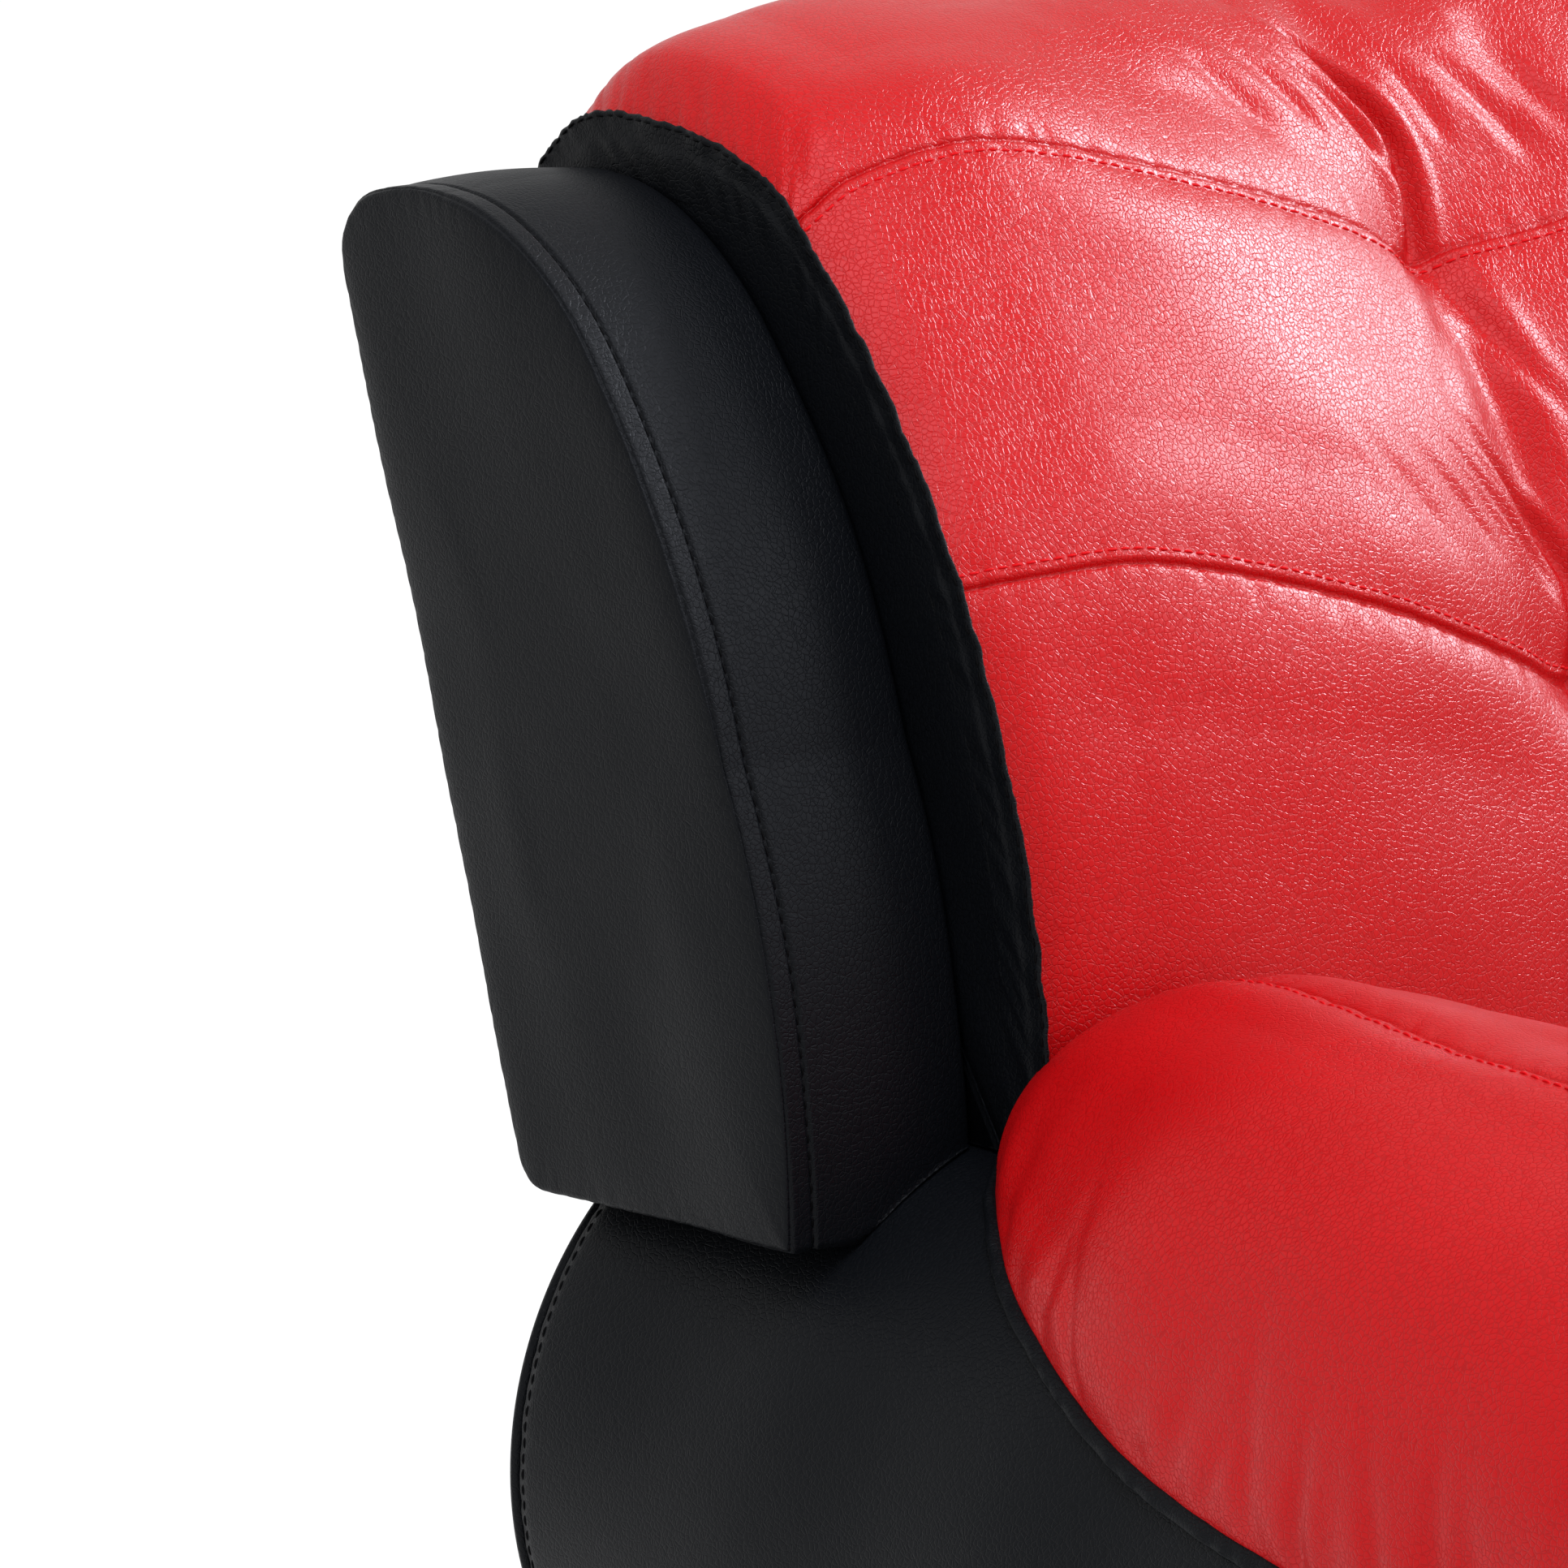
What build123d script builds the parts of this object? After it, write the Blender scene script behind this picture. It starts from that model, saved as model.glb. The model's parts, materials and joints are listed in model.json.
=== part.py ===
from build123d import *
from math import atan2, cos, hypot, pi, radians, sin, tan
import os

# Three-seater sofa: a back of three tufted cushions between D-shaped wings, rolled arms
# with puffed pads, three seat cushions, a timber frame and six short feet.
# X runs along the sofa, the seat faces -Y, Z is up and the feet stand on Z = 0.

# Overall sizes
overall_width = 2000.0
overall_depth = 900.0
foot_height = 50.0
seat_height = 450.0
fit_gap = 0.3

# Rolled arms
arm_radius = 137.0
arm_axis_height = 437.0
arm_front_panel_thickness = 20.0
arm_rear_panel_thickness = 6.0
arm_panel_inset = 2.0
arm_panel_bevel = 4.0
arm_side_inset = 40.0
arm_side_thickness = 12.0
arm_inner_board_thickness = 5.0
arm_board_width = 126.0
arm_board_thickness = 22.0
arm_board_rise = 40.0
arm_post_width = 45.0
arm_pad_thickness = 66.0
arm_pad_rear_gap = 8.0
arm_pad_inner_angle = 15.0

# Back, wings and their cushions
wing_foot_rise = 108.0
wing_height = 344.0
wing_depth = 263.0
wing_thickness = 83.0
wing_setback = 20.0
wing_corner_radius = 14.0
wing_board_thickness = 18.0
wing_board_inset = 28.0
wing_board_clearance = 10.0
back_overhang = 124.0
flange_rise = 21.0
flange_width = 8.0
gusset_thickness = 4.0
cushion_crown = 40.0
back_cushion_rise = 14.0
head_roll_drop = 32.0
head_roll_setback = 6.0

# Seat cushions
seat_crown = 24.0
seat_front_inset = 5.0
seat_rear_gap = 3.0
deck_pad_thickness = 30.0

# Timber frame, webbing and covers
rail_height = 180.0
rail_thickness = 25.0
cover_thickness = 3.0
front_cover_thickness = 12.0
front_cover_setback = 10.0
front_cover_bevel = 4.0
dust_cover_thickness = 1.0
back_post_width = 45.0
back_post_thickness = 30.0
back_post_foot_depth = 40.0
back_rail_thickness = 22.0
back_rail_height = 70.0
lumbar_rail_clearance = 31.0
webbing_thickness = 1.5
webbing_width = 60.0
seat_straps_per_seat = 4
seat_cross_straps = 5
back_straps_per_cushion = 3
block_size = 80.0
block_height = 45.0

# Feet and fasteners
foot_top_size = 62.0
foot_bottom_size = 46.0
foot_edge_chamfer = 5.0
stud_diameter = 8.0
stud_depth_in_foot = 30.0
stud_depth_in_block = 35.0
stud_clearance = 1.0
bolt_diameter = 8.0
bolt_head_width = 13.0
bolt_head_thickness = 5.5
bolt_clearance = 0.5

chords_per_arc = 5
module_names = ["left", "middle", "right"]
sides = [("left", -1), ("right", 1)]

# Outline of a wing, as (depth, height) shares of the wing from its front foot: where an
# arc starts, and the point that the arc passes
wing_outline_shares = [
    ((0.0, 0.0), (0.034, 0.241)),
    ((0.137, 0.474), (0.274, 0.703)),
    ((0.430, 0.872), (0.578, 0.962)),
    ((0.749, 1.0), (0.894, 0.994)),
]
wing_rear_top_share = (1.0, 0.956)
wing_rear_foot_share = (0.578, -0.029)

# Sections of a back cushion from its side to its middle: place across the half width,
# crown, depth and height of the upper seam, depth and height of the lower seam, bulge of
# the middle channel and of the lower channel
back_section_shares = [
    (0.0, 0.0, 0.399, 0.980, 0.061, 0.634, 0.05, 0.30),
    (0.08, 0.60, 0.396, 1.020, 0.046, 0.640, 0.10, 0.42),
    (0.28, 0.94, 0.390, 1.045, 0.030, 0.638, 0.16, 0.52),
    (0.62, 1.0, 0.390, 0.977, 0.030, 0.558, 0.22, 0.60),
    (0.88, 0.94, 0.402, 0.908, 0.045, 0.470, 0.20, 0.60),
    (1.0, 0.92, 0.407, 0.878, 0.053, 0.440, 0.18, 0.58),
]
gusset_section_share = (0.0, 0.167, 0.395, 0.985, 0.050, 0.648, 0.15, 0.65)
head_crest_share = 0.783
back_front_foot_share = 0.12
gusset_front_foot_share = 0.145
back_section_steps = 16

# Sections of a seat cushion from its side to its middle: place across the half width,
# crown of the top, of the nose and of the front
seat_section_shares = [
    (0.0, 0.1, 0.35, 0.1),
    (0.10, 0.62, 0.85, 0.5),
    (0.40, 0.97, 1.0, 0.75),
    (1.0, 1.0, 1.0, 0.75),
]
seat_gusset_shares = (0.0, 0.35, 0.55, 0.3)
seat_seam_share = 0.86
seat_nose_share = 0.52
seat_front_foot_share = 0.02
seat_section_steps = 14

# Sections of an arm pad from its rear to its nose: place along the pad, angle of its
# outer seam on the roll, and its thickness over the roll
arm_pad_sections_share = [
    (0.0, 103.0, 0.42),
    (0.045, 114.0, 0.76),
    (0.13, 131.0, 0.95),
    (0.28, 148.0, 1.06),
    (0.50, 156.0, 1.02),
    (0.75, 158.0, 0.88),
    (0.92, 158.0, 0.68),
    (0.98, 156.0, 0.44),
    (1.0, 150.0, 0.18),
]
arm_pad_outer_share = 0.80
arm_pad_inner_share = 0.88
arm_pad_seam_share = 0.97
arm_pad_root_share = 0.80
arm_pad_section_steps = 16

# Places that follow from the sizes
half_width = overall_width / 2
front_y = -overall_depth / 2
rear_y = overall_depth / 2
body_rear_y = rear_y - back_overhang
base_z = foot_height + dust_cover_thickness
rail_top_z = base_z + rail_height
deck_z = rail_top_z + 2 * webbing_thickness
seat_foot_z = deck_z + deck_pad_thickness
back_cushion_foot_z = seat_height + back_cushion_rise

arm_axis_x = half_width - arm_radius
arm_inner_x = arm_axis_x - arm_radius
arm_side_x = half_width - arm_side_inset
roll_front_y = front_y + arm_front_panel_thickness
roll_rear_y = body_rear_y - arm_rear_panel_thickness
arm_board_top_z = arm_axis_height + arm_board_rise

wing_outer_x = half_width - wing_setback
wing_inner_x = wing_outer_x - wing_thickness
wing_foot_y = rear_y - wing_depth
wing_foot_z = arm_axis_height + wing_foot_rise
overall_height = wing_foot_z + wing_height + flange_rise + cushion_crown

rail_front_y = front_y + front_cover_setback + front_cover_thickness
rail_outer_x = arm_side_x - arm_side_thickness
post_rear_y = body_rear_y - cover_thickness
rear_rail_y = post_rear_y - back_post_foot_depth
seat_front_y = front_y + seat_front_inset
seat_rear_y = rear_rail_y - rail_thickness - seat_rear_gap

rear_top_y = wing_foot_y + wing_rear_top_share[0] * wing_depth
rear_top_z = wing_foot_z + wing_rear_top_share[1] * wing_height
rear_foot_y = wing_foot_y + wing_rear_foot_share[0] * wing_depth
rear_foot_z = wing_foot_z + wing_rear_foot_share[1] * wing_height
lean = atan2(rear_top_y - rear_foot_y, rear_top_z - rear_foot_z)
lean_foot_z = rear_foot_z - (rear_foot_y - body_rear_y) / tan(lean)
lean_length = hypot(rear_top_y - body_rear_y, rear_top_z - lean_foot_z)
lean_plane = Plane(
    origin=(0, body_rear_y, lean_foot_z), x_dir=(1, 0, 0), z_dir=(0, -cos(lean), sin(lean))
)
frame_top = lean_length - head_roll_drop
post_front = cover_thickness + back_post_thickness
frame_front = post_front + back_rail_thickness + webbing_thickness
lumbar_rail_foot_z = arm_axis_height + arm_radius + lumbar_rail_clearance
lumbar_rail_rise = (lumbar_rail_foot_z - lean_foot_z - post_front * sin(lean)) / cos(lean)

back_module = 2 * wing_inner_x / len(module_names)
seat_module = 2 * arm_inner_x / len(module_names)


def block(low, high):
    """Box between its lowest and its highest corner."""
    size = Vector(*high) - Vector(*low)
    middle = (Vector(*high) + Vector(*low)) / 2
    return Pos(middle) * Box(size.X, size.Y, size.Z)


def mirrored(low_x, high_x, side):
    """Lowest and highest X of a piece that is mirrored to one side of the sofa."""
    return sorted((side * low_x, side * high_x))


def lean_point(x, up, fore):
    """Point on the leaning back: up its rear face, and forward of that face."""
    return lean_plane.from_local_coords(Vector(x, up, fore))


def lean_point_at(x, z, fore):
    """Point forward of the leaning rear face, at a height over the floor."""
    up = (z - lean_foot_z - fore * sin(lean)) / cos(lean)
    return lean_point(x, up, fore)


def lean_block(low, high):
    """Box in the measure of the leaning back, between two corners."""
    size = Vector(*high) - Vector(*low)
    middle = (Vector(*high) + Vector(*low)) / 2
    return lean_plane.location * Pos(middle) * Box(size.X, size.Y, size.Z)


def back_point(x, shares):
    """Point of the back at shares of the wing's depth and height from its front foot."""
    return Vector(
        x, wing_foot_y + shares[0] * wing_depth, wing_foot_z + shares[1] * wing_height
    )


def chords(arc):
    """Arc of a section in straight chords."""
    return Polyline(*[arc @ (step / chords_per_arc) for step in range(chords_per_arc + 1)])


def bulged(start, end, bulge):
    """Curve in a side section that swells out of its chord on the way to the front."""
    chord = end - start
    outward = Vector(0, chord.Z, -chord.Y).normalized()
    return chords(ThreePointArc(start, (start + end) / 2 + outward * bulge, end))


def section_wire(*curves):
    """Closed section from lines and chords in order."""
    return Wire([edge for curve in curves for edge in curve.edges()])


def lofted(wires):
    """Closed body with straight lines from each section to the next."""
    return Solid.make_loft(wires, ruled=True)


def both_halves(rows):
    """Rows from one side to the middle, carried on to the other side."""
    far = [(2 - row[0],) + row[1:] for row in rows[-2::-1]]
    return rows + far


def eased_row(rows, place):
    """Row at a place, on a smooth curve through the given rows."""
    index = max(i for i in range(len(rows) - 1) if rows[i][0] <= place)
    before, start, end, after = (
        rows[max(0, min(i, len(rows) - 1))] for i in range(index - 1, index + 3)
    )
    span = end[0] - start[0]
    t = (place - start[0]) / span
    values = []
    for a, b, c, d in zip(before[1:], start[1:], end[1:], after[1:]):
        slope_in = (c - a) / (end[0] - before[0]) * span
        slope_out = (d - b) / (after[0] - start[0]) * span
        values.append(
            b * (2 * t**3 - 3 * t**2 + 1)
            + slope_in * (t**3 - 2 * t**2 + t)
            + c * (3 * t**2 - 2 * t**3)
            + slope_out * (t**3 - t**2)
        )
    return (place,) + tuple(values)


def eased_rows(rows, steps):
    """Rows that stand closer together towards both ends."""
    reach = rows[-1][0]
    places = [reach * (1 - cos(pi * i / steps)) / 2 for i in range(steps + 1)]
    return [eased_row(rows, min(place, reach)) for place in places]


def roll_space(side, clearance):
    """Round space that an arm's roll takes up along the whole sofa."""
    cylinder = Cylinder(arm_radius + clearance, 2 * overall_depth)
    return Pos(side * arm_axis_x, 0, arm_axis_height) * Rot(X=90) * cylinder


def back_section(x, row, front_foot_share, clearance=0.0):
    """Closed side section of a back cushion, seated on the frame, with two seams."""
    place, crown, high_depth, high_rise, low_depth, low_rise, middle, lower = row
    crest_z = overall_height - (cushion_crown + flange_width) * (1 - crown)
    crest = Vector(x, wing_foot_y + head_crest_share * wing_depth, crest_z + clearance)
    foot = lean_point_at(x, back_cushion_foot_z, frame_front + fit_gap)
    ledge = lean_point(x, frame_top + fit_gap, frame_front + fit_gap)
    ledge_rear = lean_point(x, frame_top + fit_gap, 0)
    nape = lean_point(x, lean_length, head_roll_setback)
    upper = back_point(x, (high_depth, high_rise)) - Vector(0, clearance, 0)
    lower_seam = back_point(x, (low_depth, low_rise)) - Vector(0, clearance, 0)
    toe_y = wing_foot_y - front_foot_share * wing_depth - clearance
    toe = Vector(x, toe_y, back_cushion_foot_z)
    return section_wire(
        Line(foot, ledge),
        Line(ledge, ledge_rear),
        Line(ledge_rear, nape),
        chords(TangentArc(crest, nape, tangent=(0, 1, 0))),
        chords(TangentArc(crest, upper, tangent=(0, -1, 0))),
        bulged(upper, lower_seam, cushion_crown * middle),
        bulged(lower_seam, toe, cushion_crown * lower),
        Line(toe, foot),
    )


def back_module_span(index):
    """X of the two ends of one back cushion with its gussets."""
    low = -wing_inner_x + index * back_module + fit_gap
    return low, low + back_module - 2 * fit_gap


def make_back_cushion(index):
    """Back cushion: crowned, with two seams that dip to a tuft in the middle."""
    low, high = back_module_span(index)
    start = low + gusset_thickness
    half = (high - low) / 2 - gusset_thickness
    rows = eased_rows(both_halves(back_section_shares), back_section_steps)
    body = lofted([back_section(start + row[0] * half, row, back_front_foot_share) for row in rows])
    for name, side in sides:
        body = body - roll_space(side, fit_gap)
    return body


def make_back_gussets(index):
    """Flat side panels of a back cushion, whose edge stands out as a sewn flange."""
    low, high = back_module_span(index)
    panels = []
    for x in (low, high - gusset_thickness):
        outline = back_section(x, gusset_section_share, gusset_front_foot_share)
        panel = extrude(Face(outline), amount=gusset_thickness, dir=(1, 0, 0))
        for name, side in sides:
            panel = panel - roll_space(side, fit_gap)
        panels.append(panel)
    return panels


def seat_section(x, row):
    """Closed side section of a seat cushion: top, rolled nose and puffed front."""
    place, crown, nose, front = row
    top_z = seat_height - flange_width
    depth = seat_rear_y - seat_front_y
    height = top_z - seat_foot_z
    front_y_inset = seat_front_y + flange_width
    heel = Vector(x, seat_rear_y, seat_foot_z)
    rear_top = Vector(x, seat_rear_y, top_z)
    seam = Vector(x, seat_rear_y - seat_seam_share * depth, top_z + crown * seat_crown / 2)
    front_seam = Vector(x, front_y_inset, seat_foot_z + seat_nose_share * height)
    toe = Vector(x, front_y_inset + seat_front_foot_share * depth, seat_foot_z)
    return section_wire(
        Line(heel, rear_top),
        bulged(rear_top, seam, seat_crown * crown),
        bulged(seam, front_seam, seat_crown * nose),
        bulged(front_seam, toe, flange_width * front),
        Line(toe, heel),
    )


def seat_module_span(index):
    """X of the two ends of one seat cushion with its gussets."""
    low = -arm_inner_x + index * seat_module + fit_gap
    return low, low + seat_module - 2 * fit_gap


def make_seat_cushion(index):
    """Seat cushion: crowned top, a cross seam, a waterfall nose and a puffed front."""
    low, high = seat_module_span(index)
    start = low + gusset_thickness
    half = (high - low) / 2 - gusset_thickness
    rows = eased_rows(both_halves(seat_section_shares), seat_section_steps)
    return lofted([seat_section(start + row[0] * half, row) for row in rows])


def make_seat_gussets(index):
    """Flat side panels of a seat cushion with their flange edge."""
    low, high = seat_module_span(index)
    return [
        extrude(Face(seat_section(x, seat_gusset_shares)), amount=gusset_thickness, dir=(1, 0, 0))
        for x in (low, high - gusset_thickness)
    ]


def wing_face(x):
    """D-shaped side outline of a wing: arcs up the front and over the top."""
    starts = [back_point(x, start) for start, via in wing_outline_shares]
    ends = starts[1:] + [back_point(x, wing_rear_top_share)]
    edges = []
    for (start_share, via_share), start, end in zip(wing_outline_shares, starts, ends):
        edges.append(ThreePointArc(start, back_point(x, via_share), end))
    rear_foot = back_point(x, wing_rear_foot_share)
    edges.append(Line(ends[-1], rear_foot))
    edges.append(Line(rear_foot, starts[0]))
    return Face(Wire(edges))


def make_wing(side):
    """Padded wing over the arm, with a pocket for its board on the cushion's side."""
    outline = wing_face(side * wing_inner_x)
    body = extrude(outline, amount=wing_thickness, dir=(side, 0, 0))
    corner = body.edges().filter_by(Axis.X).sort_by(Axis.Z)[:2].sort_by(Axis.Y)[-1:]
    body = fillet(corner, wing_corner_radius)
    pocket_outline = offset(outline, -wing_board_inset + fit_gap)
    pocket = extrude(pocket_outline, amount=wing_board_thickness + fit_gap, dir=(side, 0, 0))
    return body - pocket - roll_space(side, fit_gap)


def make_wing_board(side):
    """Plywood board inside a wing, cut round the arm."""
    outline = offset(wing_face(side * (wing_inner_x + fit_gap)), -wing_board_inset)
    board = extrude(outline, amount=wing_board_thickness - fit_gap, dir=(side, 0, 0))
    return board - roll_space(side, wing_board_clearance)


def make_arm_roll(side):
    """Foam and cover of an arm's roll, with a channel for the arm's timber."""
    length = roll_rear_y - roll_front_y
    roll = Cylinder(arm_radius, length)
    roll = Pos(side * arm_axis_x, (roll_rear_y + roll_front_y) / 2, arm_axis_height) * Rot(X=90) * roll
    half = arm_board_width / 2 + fit_gap
    low_x, high_x = mirrored(arm_axis_x - half, arm_axis_x + half, side)
    channel = block(
        (low_x, front_y, arm_axis_height - 2 * arm_radius),
        (high_x, rear_y, arm_board_top_z + fit_gap),
    )
    return roll - channel


def arm_facing(side, y, thickness, bevel=0):
    """Keyhole outline of an arm's end: the round of the roll over the straight base."""
    low_x, high_x = mirrored(arm_inner_x + fit_gap, arm_side_x, side)
    round_end = Cylinder(arm_radius - arm_panel_inset, thickness)
    round_end = Pos(side * arm_axis_x, y + thickness / 2, arm_axis_height) * Rot(X=90) * round_end
    base = block((low_x, y, base_z), (high_x, y + thickness, arm_axis_height))
    if bevel > 0:
        rim = round_end.edges().filter_by(GeomType.CIRCLE).sort_by(Axis.Y)[:1]
        round_end = chamfer(rim, bevel)
        upright = base.edges().filter_by(Axis.Z).sort_by(Axis.Y)[:2]
        base = chamfer(upright, bevel)
    return round_end + base


def make_arm_front_panel(side):
    """Padded facing of an arm's front end."""
    return arm_facing(side, front_y, arm_front_panel_thickness - fit_gap, arm_panel_bevel)


def make_arm_rear_panel(side):
    """Flat facing of an arm's rear end."""
    return arm_facing(side, roll_rear_y + fit_gap, arm_rear_panel_thickness - fit_gap)


def make_arm_side_panel(side):
    """Outer side panel under an arm's roll."""
    low_x, high_x = mirrored(rail_outer_x, arm_side_x, side)
    panel = block((low_x, roll_front_y, base_z), (high_x, roll_rear_y, arm_axis_height))
    return panel - roll_space(side, fit_gap)


def make_arm_inner_board(side):
    """Thin board between the seat and an arm."""
    low_x, high_x = mirrored(arm_inner_x + fit_gap, arm_inner_x + arm_inner_board_thickness, side)
    board = block(
        (low_x, rail_front_y, rail_top_z + 2 * webbing_thickness),
        (high_x, rear_rail_y - rail_thickness, arm_axis_height),
    )
    return board - roll_space(side, fit_gap)


def make_arm_board(side):
    """Timber board along the inside of an arm's roll."""
    half = arm_board_width / 2
    low_x, high_x = mirrored(arm_axis_x - half, arm_axis_x + half, side)
    return block(
        (low_x, roll_front_y + fit_gap, arm_board_top_z - arm_board_thickness),
        (high_x, roll_rear_y, arm_board_top_z),
    )


def make_arm_posts(side):
    """Front and rear post between the side rail and the arm's board."""
    high = min(rail_outer_x - rail_thickness, arm_axis_x + arm_board_width / 2)
    low_x, high_x = mirrored(high - arm_post_width, high, side)
    front = rail_front_y + rail_thickness
    rear = roll_rear_y - arm_post_width
    top = arm_board_top_z - arm_board_thickness
    return [
        block((low_x, y, rail_top_z), (high_x, y + arm_post_width, top))
        for y in (front, rear)
    ]


def pad_section(side, place, outer_angle, thickness_share, length, rear):
    """Cross section of an arm pad over the roll, in two puffs that meet at a seam."""
    y = rear - place * length
    thickness = thickness_share * arm_pad_thickness

    def around(angle, radius):
        turn = radians(angle)
        x = arm_axis_x - radius * cos(turn)
        return Vector(side * x, y, arm_axis_height + radius * sin(turn))

    crest_angle = 90
    outer = around(outer_angle, arm_radius)
    outer_puff = around((outer_angle + crest_angle) / 2, arm_radius + arm_pad_outer_share * thickness)
    crest = around(crest_angle, arm_radius + arm_pad_seam_share * thickness)
    inner_puff = around((arm_pad_inner_angle + crest_angle) / 2, arm_radius + arm_pad_inner_share * thickness)
    inner = around(arm_pad_inner_angle, arm_radius)
    root = around(crest_angle, arm_pad_root_share * arm_radius)
    return section_wire(
        chords(ThreePointArc(outer, outer_puff, crest)),
        chords(ThreePointArc(crest, inner_puff, inner)),
        Line(inner, root),
        Line(root, outer),
    )


def make_arm_pad(side):
    """Puffed pad that lies over an arm's roll, cut to the back cushion behind it."""
    rear = wing_foot_y - arm_pad_rear_gap
    length = rear - front_y
    sections = [
        pad_section(side, place, angle, share, length, rear)
        for place, angle, share in eased_rows(arm_pad_sections_share, arm_pad_section_steps)
    ]
    pad = lofted(sections) - roll_space(side, fit_gap)
    fullest = back_section_shares[3]
    envelope = Face(back_section(0, fullest, back_front_foot_share, 2 * flange_width))
    envelope = extrude(envelope, amount=side * wing_inner_x, dir=(1, 0, 0))
    return pad - envelope


def make_front_cover():
    """Padded cover of the front rail, between the arms."""
    cover = block(
        (-arm_inner_x, front_y + front_cover_setback, base_z),
        (arm_inner_x, rail_front_y, seat_foot_z - fit_gap),
    )
    front = cover.faces().sort_by(Axis.Y)[0]
    return chamfer(front.edges(), front_cover_bevel)


def make_upper_rear_cover():
    """Leather of the leaning back, cut round both arms."""
    cover = lean_block((-wing_inner_x, 0, 0), (wing_inner_x, frame_top, cover_thickness))
    for name, side in sides:
        cover = cover - roll_space(side, fit_gap)
    return cover


def make_lower_rear_cover():
    """Upright leather of the rear between the arms."""
    return block(
        (-arm_inner_x, post_rear_y, base_z),
        (arm_inner_x, body_rear_y, lean_foot_z - fit_gap),
    )


def foot_places():
    """Middle of each foot, under the corners and the middle of the frame."""
    out = rail_outer_x - rail_thickness - block_size / 2
    front = rail_front_y + rail_thickness + block_size / 2
    rear = rear_rail_y - rail_thickness - block_size / 2
    places = {}
    for end, y in (("front", front), ("rear", rear)):
        for name, x in (("left", -out), ("middle", 0), ("right", out)):
            places[end + "_" + name] = (x, y)
    return places


def make_dust_cover():
    """Cloth under the frame, cut open for each foot's stud."""
    sheet = block((-rail_outer_x, rail_front_y, foot_height), (rail_outer_x, post_rear_y, base_z))
    half = stud_diameter / 2 + stud_clearance
    for x, y in foot_places().values():
        sheet = sheet - block((x - half, y - half, 0), (x + half, y + half, 2 * base_z))
    return sheet


def make_foot(x, y):
    """Tapered square foot with bevelled corners and a bore for its stud."""
    near = (foot_top_size - foot_bottom_size) / 2
    far = foot_top_size - near
    body = Wedge(foot_top_size, foot_height, foot_top_size, near, near, far, far)
    body = Pos(x, y, foot_height / 2) * Rot(X=-90) * body
    corners = body.edges().filter_by(Plane.XY, reverse=True)
    body = chamfer(corners, foot_edge_chamfer)
    bore = Cylinder(stud_diameter / 2, stud_depth_in_foot, align=(Align.CENTER, Align.CENTER, Align.MAX))
    return body - Pos(x, y, foot_height) * bore


def make_studs():
    """Threaded stud of each foot."""
    length = stud_depth_in_foot + dust_cover_thickness + stud_depth_in_block
    stud = Cylinder(stud_diameter / 2, length, align=(Align.CENTER, Align.CENTER, Align.MIN))
    return [Pos(x, y, foot_height - stud_depth_in_foot) * stud for x, y in foot_places().values()]


def make_foot_blocks():
    """Glued block in the frame over each foot, bored for the stud."""
    blocks = []
    for x, y in foot_places().values():
        half = block_size / 2
        body = block((x - half, y - half, base_z), (x + half, y + half, base_z + block_height))
        bore = Cylinder(stud_diameter / 2, stud_depth_in_block, align=(Align.CENTER, Align.CENTER, Align.MIN))
        blocks.append(body - Pos(x, y, base_z) * bore)
    return blocks


def post_middles():
    """X of the four posts of the back: at the seat's ends and beside its cross rails."""
    end = arm_inner_x - back_post_width / 2 - fit_gap
    inner = (seat_module - rail_thickness - back_post_width) / 2
    return [-end, -inner, inner, end]


def bolt_holes():
    """Round holes through the posts' feet and the rear rail."""
    reach = 2 * (back_post_foot_depth + rail_thickness)
    hole = Rot(X=90) * Cylinder((bolt_diameter + bolt_clearance) / 2, reach)
    z = base_z + rail_height / 2
    return [Pos(x, rear_rail_y, z) * hole for x in post_middles()]


def make_back_post(x):
    """Raked post sawn from one plank: an upright foot and a leaning upper part."""
    low_x = x - back_post_width / 2
    lower_front = rear_rail_y
    kink = lean_point(low_x, 0, cover_thickness)
    top_rear = lean_point(low_x, frame_top, cover_thickness)
    top_front = lean_point(low_x, frame_top, post_front)
    seat_line = lean_point(low_x, back_post_thickness, post_front)
    outline = Polyline(
        Vector(low_x, post_rear_y, base_z),
        Vector(low_x, post_rear_y, kink.Z),
        top_rear,
        top_front,
        seat_line,
        Vector(low_x, lower_front, lean_foot_z - back_post_thickness),
        Vector(low_x, lower_front, base_z),
        close=True,
    )
    post = extrude(Face(Wire(outline.edges())), amount=back_post_width, dir=(1, 0, 0))
    for hole in bolt_holes():
        post = post - hole
    return post


def make_back_rail(low):
    """Rail across the front of the back's posts, from wing to wing."""
    return lean_block(
        (-wing_inner_x, low, post_front),
        (wing_inner_x, low + back_rail_height, post_front + back_rail_thickness),
    )


def make_back_webbing():
    """Upright straps from the lumbar rail to the top rail."""
    straps = []
    low = lumbar_rail_rise
    near = post_front + back_rail_thickness
    pitch = back_module / back_straps_per_cushion
    for index in range(len(module_names) * back_straps_per_cushion):
        x = -wing_inner_x + (index + 1 / 2) * pitch
        straps.append(lean_block(
            (x - webbing_width / 2, low, near),
            (x + webbing_width / 2, frame_top, near + webbing_thickness),
        ))
    return straps


def make_bolts():
    """Hexagon bolt and nut through each post's foot and the rear rail."""
    bolts = []
    grip = back_post_foot_depth + rail_thickness
    z = base_z + rail_height / 2
    front = rear_rail_y - rail_thickness
    for x in post_middles():
        shank = Pos(x, front + grip / 2, z) * Rot(X=90) * Cylinder(bolt_diameter / 2, grip)
        nut = extrude(RegularPolygon(bolt_head_width / 2, 6), amount=bolt_head_thickness)
        near = Pos(x, front, z) * Rot(X=90) * nut
        bolts.append(shank + near)
    return bolts


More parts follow.
